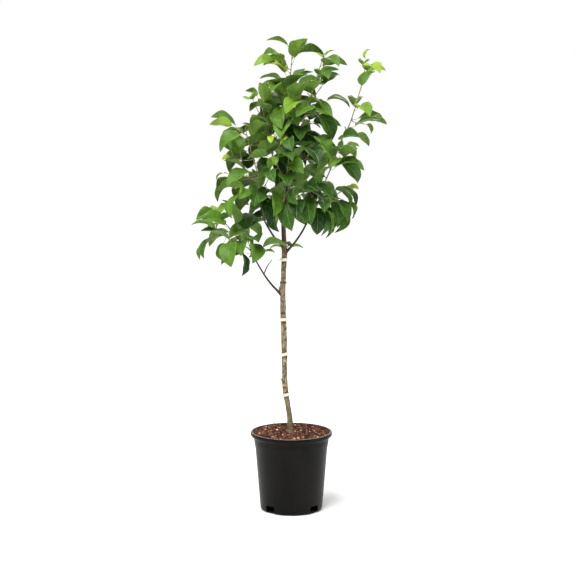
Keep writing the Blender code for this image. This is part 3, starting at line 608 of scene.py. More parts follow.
# Painted highlight on the lip, broken into patches by the scuff noise
LIP_HIGHLIGHT_PATCHES = Spread(0.35, 0.95, 0.35, 0.60)
PLASTIC_GLOSSIEST = -0.05
PLASTIC_DULLING = 0.16
PLASTIC_RELIEF = Relief(0.35, 0.0002)
SCUFF_RELIEF = Relief(0.15, 0.0002)
TIE_ROUGHNESS = 0.65
TIE_DIRT = Grain(EVEN, 130.0, 5.0, 0.55)
TIE_THREADS = Grain((1.0, 1.0, 0.2), 900.0, 2.0, 0.55)
TIE_DIRT_SPREAD = Spread(0.0, 0.60, 0.50, 0.74)
TIE_THREAD_RELIEF = Relief(0.5, 0.0002)
TIE_DIRT_RELIEF = Relief(0.3, 0.0003)
PLAIN_GRAIN = Grain(EVEN, 1.0, 4.0, 0.55)
PLAIN_GLOSSIEST = -0.08
PLAIN_DULLEST = 0.10
PLAIN_STRENGTH = 0.6
SOIL_BED = Plain(0.92, 300.0, 0.0012, 0.5)
# Painted shade inside the pot: matte, with no gloss
SOIL_PAINTED_SHADE = Plain(0.95, 300.0, 0.0012, 0.0)
CHIPS = Plain(0.85, 520.0, 0.0008, 0.5)
LEAF_RIB = Plain(0.45, 400.0, 0.0002, 0.5)
LEAF_STALK = Plain(0.50, 400.0, 0.0002, 0.5)
BUD_SCALES = Plain(0.6, 600.0, 0.0003, 0.5)


# The rule that grows the twigs and leaves

def loft(rings):
    """Skin a solid over rings of points; a last ring of one point closes it to a tip.

    The seams across neighbouring sides lean opposite ways, so that the two faces of a thin blade bend
    alike and keep clear of each other.
    """
    points = [point for ring in rings for point in ring]
    sides = len(rings[0])
    faces = []
    for span in range(len(rings) - 1):
        for side in range(sides):
            following = (side + 1) % sides
            low, low_next = span * sides + side, span * sides + following
            if len(rings[span + 1]) == 1:
                faces.append((low, low_next, len(points) - 1))
                continue
            high, high_next = low + sides, low_next + sides
            if side % 2:
                faces += [(low, low_next, high), (low_next, high_next, high)]
            else:
                faces += [(low, low_next, high_next), (low, high_next, high)]
    faces.append(tuple(reversed(range(sides))))
    if len(rings[-1]) > 1:
        faces.append(tuple(range(len(points) - sides, len(points))))
    return points, faces


def smooth_path(stations, rings_per_span=RINGS_PER_SPAN):
    """Carry a smooth line through stations of x, y, z and radius."""
    marks = [Vector(station) for station in stations]
    marks = [marks[0] * 2 - marks[1], *marks, marks[-1] * 2 - marks[-2]]
    path = []
    for before, start, end, after in zip(marks, marks[1:], marks[2:], marks[3:]):
        for step in range(rings_per_span):
            t = step / rings_per_span
            path.append(0.5 * (
                start * 2
                + (end - before) * t
                + (before * 2 - start * 5 + end * 4 - after) * t ** 2
                + (start * 3 - before - end * 3 + after) * t ** 3
            ))
    path.append(marks[-2])
    return path


def frames(path, foot_direction=None):
    """Give each ring of a path its centre, its direction and a side that doesn't twist."""
    centres = [mark.to_3d() for mark in path]
    placed = []
    side = None
    for index, centre in enumerate(centres):
        ahead = centres[min(index + 1, len(centres) - 1)]
        behind = centres[max(index - 1, 0)]
        along = (ahead - behind).normalized()
        if index == 0 and foot_direction is not None:
            along = foot_direction
        if side is None:
            side = along.orthogonal()
        side = (side - along * side.dot(along)).normalized()
        placed.append((centre, along, side))
    return placed


def tube(path, sides, foot_direction=None):
    """Skin a round tapering limb along a path."""
    rings = []
    for mark, (centre, along, side) in zip(path, frames(path, foot_direction)):
        across = along.cross(side)
        ring = []
        for step in range(sides):
            angle = math.tau * step / sides
            ring.append(centre + (side * math.cos(angle) + across * math.sin(angle)) * mark.w)
        rings.append(ring)
    return loft(rings)


def length_of(path):
    """Measure a path along its centre line."""
    return sum((end - start).to_3d().length for start, end in zip(path, path[1:]))


def place_on(path, share):
    """Find the centre, direction and side at a share of a path's length."""
    placed = frames(path)
    lengths = [(b[0] - a[0]).length for a, b in zip(placed, placed[1:])]
    left = share * sum(lengths)
    index = 0
    while left > lengths[index] and index < len(lengths) - 1:
        left -= lengths[index]
        index += 1
    part = min(left / lengths[index], 1.0)
    start = placed[index]
    end = placed[index + 1]
    centre = start[0].lerp(end[0], part)
    along = start[1].lerp(end[1], part).normalized()
    side = start[2] - along * start[2].dot(along)
    return centre, along, side.normalized()


def limb_paths():
    """Centre lines of the trunk and boughs, by node name."""
    return {
        name: smooth_path(stations, 1 if name == "trunk" else RINGS_PER_SPAN)
        for name, stations in LIMBS.items()
    }


def limb_shape(name, paths):
    """Skin a limb; the leader's foot lies flat on the trunk's tip."""
    foot_direction = None
    if name == "trunk":
        foot_direction = UP
    if name == "leader":
        foot_direction = frames(paths["trunk"])[-1][1]
    return tube(paths[name], TRUNK_SIDES if name == "trunk" else BOUGH_SIDES, foot_direction)


def stem_path(spray, paths):
    """Run a spray's stem from its limb through its route."""
    limb = paths[spray.limb]
    centre, along, side = place_on(limb, spray.at)
    foot_radius = STEM_RADIUS
    if spray.at == 1.0:
        centre = limb[-1].to_3d() + along * GAP
        foot_radius = limb[-1].w * STEM_TO_TIP_RATIO
    points = [centre, *(Vector(point) for point in spray.route)]
    stations = []
    for index, point in enumerate(points):
        share = index / (len(points) - 1)
        stations.append((*point, foot_radius + (STEM_TIP_RADIUS - foot_radius) * share))
    return smooth_path(stations)


def shoot_path(stem, shoot):
    """Run a shoot out from the middle of its stem, sagging a little before its tip turns up."""
    start = place_on(stem, shoot.at)[0]
    bearing = math.radians(shoot.bearing)
    rise = math.radians(shoot.rise)
    heading = Vector((math.cos(rise) * math.cos(bearing), math.cos(rise) * math.sin(bearing), math.sin(rise)))
    stations = []
    for share in (0.0, 0.5, 1.0):
        sag = -UP * (SHOOT_SAG * shoot.length * 4 * share * (1 - share))
        radius = SHOOT_RADIUS + (SHOOT_TIP_RADIUS - SHOOT_RADIUS) * share
        stations.append((*(start + heading * (shoot.length * share) + sag), radius))
    return smooth_path(stations)


def leaf_width(share):
    """Width of a leaf at a share of its length, as a part of its full width."""
    return math.sin(math.pi * share ** LEAF_WIDTH_SKEW) ** LEAF_WIDTH_FULLNESS


def midrib(leaf, share):
    """Point on a leaf's midrib and the way its upper face looks there."""
    turn = leaf.arch * share
    radius = leaf.length / leaf.arch
    point = leaf.base + leaf.along * (radius * math.sin(turn)) - leaf.up * (radius * (1 - math.cos(turn)))
    return point, leaf.up * math.cos(turn) + leaf.along * math.sin(turn)


def leaf_shape(leaf, clearance=0.0):
    """Skin a leaf: its stalk from the middle of the twig, then its folded blade."""
    across = leaf.along.cross(leaf.up)
    stalk = leaf.base - leaf.root
    stalk_side = (across - stalk * (across.dot(stalk) / stalk.length_squared)).normalized()
    stalk_up = stalk_side.cross(stalk).normalized()
    foot = leaf.root + stalk * (STALK_FREE_SHARE if clearance else 0.0)
    radius = STALK_RADIUS + clearance
    rings = []
    for point in (foot, leaf.base):
        rings.append([
            point + stalk_side * radius, point - stalk_up * radius,
            point - stalk_side * radius, point + stalk_up * radius,
        ])
    fold = math.radians(LEAF_FOLD)
    thick = LEAF_THICKNESS_RATIO * leaf.length / 2 + clearance
    for share in LEAF_STATIONS:
        point, up = midrib(leaf, share)
        half = LEAF_WIDTH_RATIO * leaf.length / 2 * leaf_width(share) + clearance
        lift = up * (half * math.sin(fold))
        spread = across * (half * math.cos(fold))
        rings.append([point + spread + lift, point - up * thick, point - spread + lift, point + up * thick])
    rings.append([midrib(leaf, 1.0 + clearance / leaf.length)[0]])
    return loft(rings)


def draw_leaf(twig, share, bearing, size, droop, rng):
    """Draw one leaf's stance at random: how it leaves the twig, droops, arches and rolls."""
    root, along, side = place_on(twig, share)
    out = Matrix.Rotation(math.radians(bearing + rng.uniform(*LEAF_BEARING)), 3, along) @ side
    lean = rng.uniform(*LEAF_LEAN) + (rng.uniform(*TIP_LEAF_LEAN) - TIP_LEAN_LOSS) * share ** 3
    heading = (along * math.cos(math.radians(lean)) + out * math.sin(math.radians(lean))).normalized()
    length = LEAF_LENGTH * size * (1 + LEAF_LENGTH_SPREAD * rng.uniform(*LEAF_LENGTH_DRAW))
    stalk = heading.lerp(-UP, rng.uniform(*STALK_DROOP)).normalized()
    base = root + stalk * (STALK_RATIO * length)
    blade = heading.lerp(-UP, droop + rng.uniform(*BLADE_DROOP)).normalized()
    face = UP + out * FACE_OUTWARD
    face = (face - blade * face.dot(blade)).normalized()
    face = Matrix.Rotation(math.radians(rng.uniform(*LEAF_ROLL)), 3, blade) @ face
    arch = math.radians(rng.uniform(*LEAF_ARCH))
    return Leaf(root, base, blade, face, length, arch)


def tree_of(shape):
    """Make a shape ready for overlap tests."""
    return BVHTree.FromPolygons(shape[0], shape[1])


def is_clear(shape, obstacles):
    """Tell whether a shape touches none of the obstacles."""
    own = tree_of(shape)
    return not any(own.overlap(obstacle) for obstacle in obstacles)


def in_reach(leaf, stem, reach):
    """Tell whether a leaf's tip keeps to the space round its spray's stem."""
    tip = midrib(leaf, 1.0)[0]
    return min((tip - mark.to_3d()).length for mark in stem) <= reach


def leaf_runs(count, seeds):
    """Share a twig's leaves out among its seeds, as equal runs up the twig."""
    marks = [round(count * index / len(seeds)) for index in range(len(seeds) + 1)]
    return [(range(low, high), seed) for low, high, seed in zip(marks, marks[1:], seeds)]


def grow_run(twig, count, run, seed, spray, stem, limbs, foliage):
    """Set one run of a twig's leaves in a spiral, each with its share of the twig's length; a leaf that
    finds no clear place in reach is skipped.

    A swollen leaf, less the root of its stalk, keeps clear of limbs and foliage, and the whole leaf keeps
    clear of foliage.
    """
    rng = random.Random(seed)
    turn = rng.uniform(0, 360)
    first = FIRST_LEAF / length_of(twig)
    leaves = []
    trees = []
    for index in run:
        share = first + (LAST_LEAF_SHARE - first) * index / (count - 1)
        turn += TURN_PER_LEAF
        size = spray.size * (YOUNG_LEAF_RATIO if index == count - 1 else 1.0)
        for _ in range(LEAF_TRIES):
            leaf = draw_leaf(twig, share, turn, size, spray.droop, rng)
            if not in_reach(leaf, stem, spray.reach):
                continue
            guard = leaf_shape(leaf, LEAF_CLEARANCE)
            if is_clear(guard, limbs + foliage + trees) and is_clear(leaf_shape(leaf), foliage + trees):
                leaves.append((leaf, share))
                trees.append(tree_of(leaf_shape(leaf)))
                break
    return leaves, trees


def spray_twigs(paths):
    """Run every spray's stem and shoots; a shoot that would touch a limb or a stem is skipped."""
    stems = {name: stem_path(spray, paths) for name, spray in SPRAYS.items()}
    obstacles = {name: tree_of(limb_shape(name, paths)) for name in paths}
    for name, stem in stems.items():
        obstacles[name] = tree_of(tube(stem, STEM_SIDES))
    twigs = {}
    for name, spray in SPRAYS.items():
        others = [tree for key, tree in obstacles.items() if key != name]
        shoots = []
        for shoot in spray.shoots:
            path = shoot_path(stems[name], shoot)
            shape = tube(path, SHOOT_SIDES)
            if is_clear(shape, others):
                shoots.append((shoot, path))
                obstacles[len(obstacles)] = tree_of(shape)
        twigs[name] = (stems[name], shoots)
    return twigs, list(obstacles.values())


def grow_crown(paths):
    """Grow the leaves of every spray in turn, each clear of all that stands before it."""
    twigs, limbs = spray_twigs(paths)
    foliage = []
    crown = {}
    for name, (stem, shoots) in twigs.items():
        spray = SPRAYS[name]
        crown[name] = []
        for twig, source in [(stem, spray), *((path, shoot) for shoot, path in shoots)]:
            grown = []
            for run, seed in leaf_runs(source.leaves, source.seeds):
                leaves, trees = grow_run(twig, source.leaves, run, seed, spray, stem, limbs, foliage)
                grown += leaves
                foliage += trees
            crown[name].append((twig, grown))
    return crown, foliage


# Settings

def length_setting(name, description, default):
    """Describe one length that a user may change."""
    return FloatProperty(
        name=name, description=description, default=default, min=0.0, unit="LENGTH", precision=5,
    )


def share_setting(name, description, default):
    """Describe one value from 0 to 1 that a user may change."""
    return FloatProperty(
        name=name, description=description, default=default, min=0.0, max=1.0, subtype="FACTOR",
    )


def power_setting(name, description, default):
    """Describe one strength or power that a user may change."""
    return FloatProperty(name=name, description=description, default=default, min=0.0)


def colour_setting(name, description, default):
    """Describe one colour that a user may change."""
    return FloatVectorProperty(
        name=name, description=description, default=default, min=0.0, max=1.0, size=3, subtype="COLOR",
    )


class PearPotSettings(PropertyGroup):
    """Sizes and colours of the pot"""
    rim_radius: length_setting("Rim Radius", "Radius over the pot's rim", RIM_RADIUS)
    wall: length_setting("Wall", "Thickness of the pot's wall", POT_WALL)
    edge: length_setting("Edge Rounding", "Rounding of the moulded edges", 0.0007)
    steps: IntProperty(name="Steps", description="Facets round the pot", default=112, min=24, max=256)
    colour: colour_setting("Colour", "Colour of the plastic", (0.0020, 0.0019, 0.0018))
    dust: colour_setting("Dust", "Colour of the dust on the plastic", (0.011, 0.008, 0.006))
    # lip: colour of a painted highlight along the top of the rim
    lip: colour_setting("Lip", "Colour of the worn lip of the rim", (0.250, 0.212, 0.183))
    roughness: share_setting("Roughness", "Roughness of the plastic", 0.38)


class PearSoilSettings(PropertyGroup):
    """Sizes and colours of the bark chips in the pot"""
    chips: IntProperty(name="Chips", description="Number of loose chips", default=2600, min=100, max=6000)
    chip_length: length_setting("Chip Length", "Length of the longest chips", 0.0104)
    relief: length_setting("Relief", "Height of the hollows and heaps of the bed", 0.0022)
    bed: colour_setting("Bed", "Colour of the fine soil between the chips", (0.010, 0.004, 0.003))
    # depth: painted shade, a near-black colour for the soil below the pot's shoulder that stands in for the
    # shade inside the pot
    depth: colour_setting("Depth", "Colour of the shaded soil inside the pot", (0.0006, 0.0005, 0.0005))
    red: colour_setting("Red Chips", "Colour of the reddish chips", (0.128, 0.031, 0.013))
    dark: colour_setting("Dark Chips", "Colour of the dark chips", (0.012, 0.005, 0.004))
    tan: colour_setting("Tan Chips", "Colour of the tan chips", (0.250, 0.084, 0.036))
    pale: colour_setting("Pale Chips", "Colour of the pale chips", (0.680, 0.400, 0.220))


class PearBarkSettings(PropertyGroup):
    """Sizes and colours of the bark"""
    relief: share_setting("Relief", "Unevenness of the limbs, as a share of their radius", 0.080)
    trunk_light: colour_setting("Trunk Light", "Light tone of the trunk's bark", (0.520, 0.400, 0.235))
    trunk_dark: colour_setting("Trunk Dark", "Dark tone of the trunk's bark", (0.050, 0.033, 0.016))
    trunk_foot: colour_setting("Trunk Foot", "Tone that the bark takes near the soil", (0.120, 0.105, 0.048))
    # stain: real stains round the knots, and dirt with painted shade along the edges of the ties
    stain: colour_setting("Stain", "Colour of the bark round knots and under ties", (0.035, 0.024, 0.014))
    bough_light: colour_setting("Bough Light", "Light tone of the boughs' bark", (0.078, 0.052, 0.034))
    bough_dark: colour_setting("Bough Dark", "Dark tone of the boughs' bark", (0.024, 0.015, 0.010))
    twig_light: colour_setting("Twig Light", "Light tone of the young twigs", (0.440, 0.370, 0.250))
    twig_dark: colour_setting("Twig Dark", "Dark tone of the young twigs", (0.200, 0.145, 0.085))
    pores: colour_setting("Pores", "Colour of the bark's pores", (0.480, 0.420, 0.300))
    buds: colour_setting("Buds", "Colour of the bud scales", (0.105, 0.055, 0.030))


class PearTieSettings(PropertyGroup):
    """Sizes and colours of the ties"""
    height: length_setting("Height", "Height of a tie's band", TIE_HEIGHT)
    thickness: length_setting("Thickness", "Thickness of a tie's band", 0.0024)
    colour: colour_setting("Colour", "Colour of the ties", (0.740, 0.690, 0.540))
    stain: colour_setting("Stain", "Colour of the dirt on the ties", (0.520, 0.450, 0.300))


class PearLeafSettings(PropertyGroup):
    """Sizes and colours of the leaves"""
    thickness: length_setting("Thickness", "Thickness of a leaf's blade", 0.00045)
    bud_length: length_setting("Bud Length", "Length of a bud at a leaf's foot", 0.0042)
    roughness: share_setting("Roughness", "Roughness of a leaf's upper side", 0.42)
    # The tones stand for age, and as SPRAY_TONES deals them also for painted shade (deep, grown) and painted
    # sunlight (fresh, young)
    deep: colour_setting("Deep", "Colour of the oldest leaves", (0.011, 0.048, 0.007))
    grown: colour_setting("Grown", "Colour of the grown leaves", (0.034, 0.105, 0.011))
    middle: colour_setting("Middle", "Colour of the half-grown leaves", (0.080, 0.182, 0.016))
    fresh: colour_setting("Fresh", "Colour of the fresh leaves", (0.166, 0.308, 0.022))
    young: colour_setting("Young", "Colour of the youngest leaves", (0.300, 0.440, 0.028))
    silvery: colour_setting("Silvery", "Colour of the palest leaves", (0.330, 0.460, 0.110))
    # under: the undersides' own paler green, made brighter and yellower as a painted glow of light through
    # the blade
    under: colour_setting("Underside", "Colour that pales the undersides", (0.230, 0.390, 0.075))
    rib: colour_setting("Rib", "Colour of the midribs", (0.140, 0.230, 0.040))
    stalk: colour_setting("Stalk", "Colour of the leaf stalks", (0.300, 0.380, 0.090))


class PearStageSettings(PropertyGroup):
    """Floor and lights"""
    floor_radius: length_setting("Floor Radius", "Radius of the floor", 14.0)
    floor: colour_setting("Floor", "Colour of the floor", (0.930, 0.930, 0.925))
    sky: share_setting("Sky", "Strength of the light from all round", 0.50)
    sun: power_setting("Sun", "Strength of the soft far light", 2.3)
    key: power_setting("Key", "Power of the main light in watts", 125.0)
    sides: power_setting("Sides", "Power of each side light in watts", 20.0)
    back: power_setting("Back", "Power of the light from behind in watts", 40.0)


SETTINGS = {
    "pear_pot": PearPotSettings,
    "pear_soil": PearSoilSettings,
    "pear_bark": PearBarkSettings,
    "pear_tie": PearTieSettings,
    "pear_leaf": PearLeafSettings,
    "pear_stage": PearStageSettings,
}


# Finishes

def new_finish(name, colour, roughness, gloss=0.5):
    """Start a finish, and return it with its nodes and its shader."""
    finish = bpy.data.materials.new(name)
    finish.use_nodes = True
    tree = finish.node_tree
    shader = tree.nodes["Principled BSDF"]
    shader.inputs["Base Color"].default_value = (*colour, 1.0)
    shader.inputs["Roughness"].default_value = roughness
    shader.inputs["Specular IOR Level"].default_value = gloss
    return finish, tree, shader


def add_node(tree, kind, inputs=None, **values):
    """Add one node with its values, and with the values or links of its sockets."""
    made = tree.nodes.new(kind)
    for name, value in values.items():
        setattr(made, name, value)
    for name, value in (inputs or {}).items():
        if isinstance(value, bpy.types.NodeSocket):
            tree.links.new(value, made.inputs[name])
        else:
            made.inputs[name].default_value = value
    return made


def grain_noise(tree, coordinates, grain, scale=1.0):
    """Noise of a grain on a surface, drawn out along the axes where its stretch is below 1."""
    places = add_node(tree, "ShaderNodeMapping", {"Vector": coordinates, "Scale": grain.stretch})
    return add_node(tree, "ShaderNodeTexNoise", {
        "Vector": places.outputs["Vector"],
        "Scale": scale * grain.scale,
        "Detail": grain.detail,
        "Roughness": grain.roughness,
    }).outputs["Fac"]


def ramp(tree, value, stops):
    """Turn a value into colours through stops of place and colour."""
    made = add_node(tree, "ShaderNodeValToRGB", {"Fac": value})
    elements = made.color_ramp.elements
    while len(elements) < len(stops):
        elements.new(0.5)
    for element, (place, colour) in zip(elements, stops):
        element.position = place
        element.color = (*colour, 1.0)
    return made.outputs["Color"]


def spread_value(tree, value, low, high, start=0.25, end=0.75):
    """Spread a noise value between two numbers."""
    return add_node(tree, "ShaderNodeMapRange", {
        "Value": value, "From Min": start, "From Max": end, "To Min": low, "To Max": high,
    }).outputs["Result"]


def bump(tree, shader, heights):
    """Raise a surface by values, each with its strength and its depth in metres."""
    normal = None
    for height, strength, depth in heights:
        inputs = {"Height": height, "Strength": strength, "Distance": depth}
        if normal is not None:
            inputs["Normal"] = normal
        normal = add_node(tree, "ShaderNodeBump", inputs).outputs["Normal"]
    tree.links.new(normal, shader.inputs["Normal"])


def work_out(tree, operation, *values):
    """Work out one value from others, each a socket or a number."""
    return add_node(tree, "ShaderNodeMath", dict(enumerate(values)), operation=operation).outputs[0]


def mix_colours(tree, factor, first, second):
    """Mix two colours, each a socket or plain values, by a value."""
    first, second = (
        colour if isinstance(colour, bpy.types.NodeSocket) else (*colour, 1.0) for colour in (first, second)
    )
    made = add_node(tree, "ShaderNodeMix", {
        MIX_FACTOR: factor, MIX_FIRST: first, MIX_SECOND: second,
    }, data_type="RGBA")
    return made.outputs[MIX_RESULT]


def object_places(tree):
    """Coordinates of the object that a finish is on."""
    return tree.nodes.new("ShaderNodeTexCoord").outputs["Object"]


def blend(first, second, share):
    """Blend two plain colours, the second by its share."""
    return tuple(a + (b - a) * share for a, b in zip(first, second))


def bark_finish(name, light, dark, pores, scale, pore_scale, tints=(), stain=None):
    """Bark: blotches of two tones, fine streaks and small pale pores that stand out.

    Each tint is a colour with its spread over the height. A stain colours the places that the piece marks: on
    the trunk, stains round the knots, and dirt with painted shade along the ties.
    """
    finish, tree, shader = new_finish(name, light, BARK_ROUGHNESS[1], BARK_GLOSS)
    places = object_places(tree)
    blotches = grain_noise(tree, places, BARK_BLOTCHES, scale)
    patches = grain_noise(tree, places, BARK_PATCHES, scale)
    streaks = grain_noise(tree, places, BARK_STREAKS, scale)
    rings = grain_noise(tree, places, BARK_RINGS, scale)
    stops = tuple(zip(BARK_STOPS, (dark, blend(light, dark, 0.5), light)))
    colour = ramp(tree, blotches, stops)
    colour = mix_colours(tree, spread_value(tree, streaks, *BARK_STREAK_SHADE), colour, dark)
    colour = mix_colours(tree, spread_value(tree, patches, *BARK_PATCH_SHADE), colour, dark)
    stretched = add_node(tree, "ShaderNodeMapping", {"Vector": places, "Scale": BARK_PORE_STRETCH})
    cells = add_node(tree, "ShaderNodeTexVoronoi", {
        "Vector": stretched.outputs["Vector"], "Scale": pore_scale,
    })
    pore = spread_value(tree, cells.outputs["Distance"], *BARK_PORES)
    colour = mix_colours(tree, pore, colour, pores)
    height = add_node(tree, "ShaderNodeSeparateXYZ", {"Vector": places}).outputs["Z"]
    for tint, spread in tints:
        colour = mix_colours(tree, spread_value(tree, height, *spread), colour, tint)
    if stain:
        mark = add_node(tree, "ShaderNodeAttribute", attribute_name="stain")
        colour = mix_colours(tree, mark.outputs["Fac"], colour, stain)
    tree.links.new(colour, shader.inputs["Base Color"])
    tree.links.new(spread_value(tree, streaks, *BARK_ROUGHNESS), shader.inputs["Roughness"])
    bump(tree, shader, (
        (blotches, *BLOTCH_RELIEF), (streaks, *STREAK_RELIEF), (rings, *RING_RELIEF), (pore, *PORE_RELIEF),
    ))
    return finish


def leaf_finish(name, colour, roughness, veins, margin):
    """Leaf: one tone that darkens in soft clouds and pales at the margin, with a soft uneven gloss and
    sunken side veins."""
    finish, tree, shader = new_finish(name, colour, roughness, LEAF_GLOSS)
    places = object_places(tree)
    clouds = grain_noise(tree, places, LEAF_CLOUDS)
    patches = grain_noise(tree, places, LEAF_PATCHES)
    gloss = spread_value(tree, patches, roughness + LEAF_GLOSSIEST, roughness + LEAF_DULLEST)
    tree.links.new(gloss, shader.inputs["Roughness"])
    grain = grain_noise(tree, places, LEAF_GRAIN)
    mark = add_node(tree, "ShaderNodeUVMap", uv_map="leaf_place")
    parts = add_node(tree, "ShaderNodeSeparateXYZ", {"Vector": mark.outputs["UV"]})
    out = work_out(tree, "ABSOLUTE", parts.outputs["X"])
    slant = work_out(tree, "MULTIPLY_ADD", out, VEIN_SLANT, parts.outputs["Y"])
    wave = work_out(tree, "PINGPONG", work_out(tree, "MULTIPLY", slant, VEIN_PAIRS), 1.0)
    groove = spread_value(tree, wave, *VEIN_WIDTH)
    bump(tree, shader, ((groove, veins, VEIN_DEPTH), (grain, *LEAF_GRAIN_RELIEF)))
    shaded = tuple(value * CLOUD_SHADE for value in colour)
    tone = mix_colours(tree, spread_value(tree, clouds, *CLOUD_SPREAD), colour, shaded)
    tone = mix_colours(tree, spread_value(tree, groove, VEIN_PALING, 0.0), tone, margin)
    tone = mix_colours(tree, spread_value(tree, out, *EDGE_PALING), tone, margin)
    tree.links.new(tone, shader.inputs["Base Color"])
    return finish


def plain_finish(name, colour, plain):
    """Plain colour with a grain that roughens it and stands out a little."""
    finish, tree, shader = new_finish(name, colour, plain.roughness, plain.gloss)
    grain = grain_noise(tree, object_places(tree), PLAIN_GRAIN, plain.scale)
    glossiest = plain.roughness + PLAIN_GLOSSIEST
    dullest = min(plain.roughness + PLAIN_DULLEST, 1.0)
    tree.links.new(spread_value(tree, grain, glossiest, dullest), shader.inputs["Roughness"])
    bump(tree, shader, ((grain, PLAIN_STRENGTH, plain.depth),))
    return finish


def plastic_finish(settings):
    """Moulded plastic: charcoal with a fine grain, dust in uneven patches and a painted highlight in patches
    along the lip.
    """
    finish, tree, shader = new_finish("pot plastic", settings.colour, settings.roughness, PLASTIC_GLOSS)
    places = object_places(tree)
    dusty = grain_noise(tree, places, PLASTIC_DUST)
    scuffs = grain_noise(tree, places, PLASTIC_SCUFFS)
    grain = grain_noise(tree, places, PLASTIC_GRAIN)
    amount = spread_value(tree, dusty, *DUST_SPREAD)
    colour = mix_colours(tree, amount, tuple(settings.colour), tuple(settings.dust))
    height = add_node(tree, "ShaderNodeSeparateXYZ", {"Vector": places}).outputs["Z"]
    # Painted highlight: the top of the rim takes the pale lip colour in patches
    highlight_patches = spread_value(tree, scuffs, *LIP_HIGHLIGHT_PATCHES)
    highlighted = spread_value(tree, height, 0.0, highlight_patches, POT_HEIGHT - LIP_HIGHLIGHT_START, POT_HEIGHT - LIP_HIGHLIGHT_FULL)
    colour = mix_colours(tree, highlighted, colour, tuple(settings.lip))
    tree.links.new(colour, shader.inputs["Base Color"])
    low = settings.roughness + PLASTIC_GLOSSIEST
    tree.links.new(spread_value(tree, scuffs, low, low + PLASTIC_DULLING), shader.inputs["Roughness"])
    bump(tree, shader, ((grain, *PLASTIC_RELIEF), (scuffs, *SCUFF_RELIEF)))
    return finish


def tie_finish(settings):
    """Soft cream tie with a woven grain and a little dirt."""
    finish, tree, shader = new_finish("tie", settings.colour, TIE_ROUGHNESS)
    places = object_places(tree)
    dirt = grain_noise(tree, places, TIE_DIRT)
    threads = grain_noise(tree, places, TIE_THREADS)
    amount = spread_value(tree, dirt, *TIE_DIRT_SPREAD)
    colour = mix_colours(tree, amount, tuple(settings.colour), tuple(settings.stain))
    tree.links.new(colour, shader.inputs["Base Color"])
    bump(tree, shader, ((threads, *TIE_THREAD_RELIEF), (dirt, *TIE_DIRT_RELIEF)))
    return finish


# Meshes

class Heap:
    """Many small shapes gathered for one mesh: points, faces, the finish of each face and the place on
    its leaf of each point."""

    def __init__(self):
        self.points = []
        self.faces = []
        self.finishes = []
        self.marks = []

    def add(self, shape, finish, marks=None):
        """Add a shape; its finish is one number for all its faces, or one for each."""
        points, faces = shape
        start = len(self.points)
        self.points.extend(points)
        self.faces.extend(tuple(start + index for index in face) for face in faces)
        self.finishes.extend(finish if isinstance(finish, list) else [finish] * len(faces))
        self.marks.extend(marks if marks else [(0.0, 0.0)] * len(points))


def show(name, mesh, finishes, nodes):
    """Put a finished mesh into the scene as a piece that replaces its CAD nodes."""
    for finish in finishes:
        mesh.materials.append(finish)
    piece = bpy.data.objects.new(name, mesh)
    bpy.context.scene.collection.objects.link(piece)
    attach(piece, "root")
    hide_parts(*nodes)
    return piece


def show_heap(name, heap, finishes, nodes):
    """Join a heap of small shapes into one smooth piece."""
    mesh = bpy.data.meshes.new(name)
    mesh.from_pydata(heap.points, [], heap.faces)
    mesh.polygons.foreach_set("material_index", heap.finishes)
    places = mesh.uv_layers.new(name="leaf_place")
    corners = np.empty(len(mesh.loops), np.int32)
    mesh.loops.foreach_get("vertex_index", corners)
    places.data.foreach_set("uv", np.array(heap.marks, np.float32)[corners].ravel())
    mesh.shade_smooth()
    mesh.set_sharp_from_angle(angle=math.radians(SMALL_SHARP_ANGLE))
    return show(name, mesh, finishes, nodes)


def show_form(name, form, finishes, nodes):
    """Turn a bmesh into one smooth piece."""
    bmesh.ops.recalc_face_normals(form, faces=form.faces)
    mesh = bpy.data.meshes.new(name)
    form.to_mesh(mesh)
    form.free()
    mesh.shade_smooth()
    mesh.set_sharp_from_angle(angle=math.radians(SHARP_ANGLE))
    return show(name, mesh, finishes, nodes)


def spin_profile(form, profile, steps, closed=False):
    """Spin a profile of radius and height about the upright axis."""
    points = [form.verts.new((radius, 0.0, height)) for radius, height in profile]
    following = points[1:] + points[:1] if closed else points[1:]
    edges = [form.edges.new(pair) for pair in zip(points, following)]
    bmesh.ops.spin(
        form, geom=points + edges, axis=UP, cent=AXIS_FOOT, dvec=(0.0, 0.0, 0.0),
        angle=math.tau, steps=steps, use_merge=True,
    )
    bmesh.ops.remove_doubles(form, verts=form.verts, dist=SAME_PLACE)
    bmesh.ops.recalc_face_normals(form, faces=form.faces)


def skin_rings(form, rings):
    """Extrude a ring of edges through rings of places, and close both ends."""
    loop = bmesh.ops.create_circle(form, cap_ends=False, radius=1.0, segments=len(rings[0]))["verts"]
    for point, place in zip(loop, rings[0]):
        point.co = place
    edges = list(dict.fromkeys(edge for point in loop for edge in point.link_edges))
    first = edges
    for ring in rings[1:]:
        made = bmesh.ops.extrude_edge_only(form, edges=edges)["geom"]
        grown = {part for part in made if isinstance(part, bmesh.types.BMVert)}
        edges = [
            part for part in made
            if isinstance(part, bmesh.types.BMEdge) and grown.issuperset(part.verts)
        ]
        loop = [
            next(edge.other_vert(point) for edge in point.link_edges if edge.other_vert(point) in grown)
            for point in loop
        ]
        for point, place in zip(loop, ring):
            point.co = place
    bmesh.ops.edgeloop_fill(form, edges=first)
    bmesh.ops.edgeloop_fill(form, edges=edges)


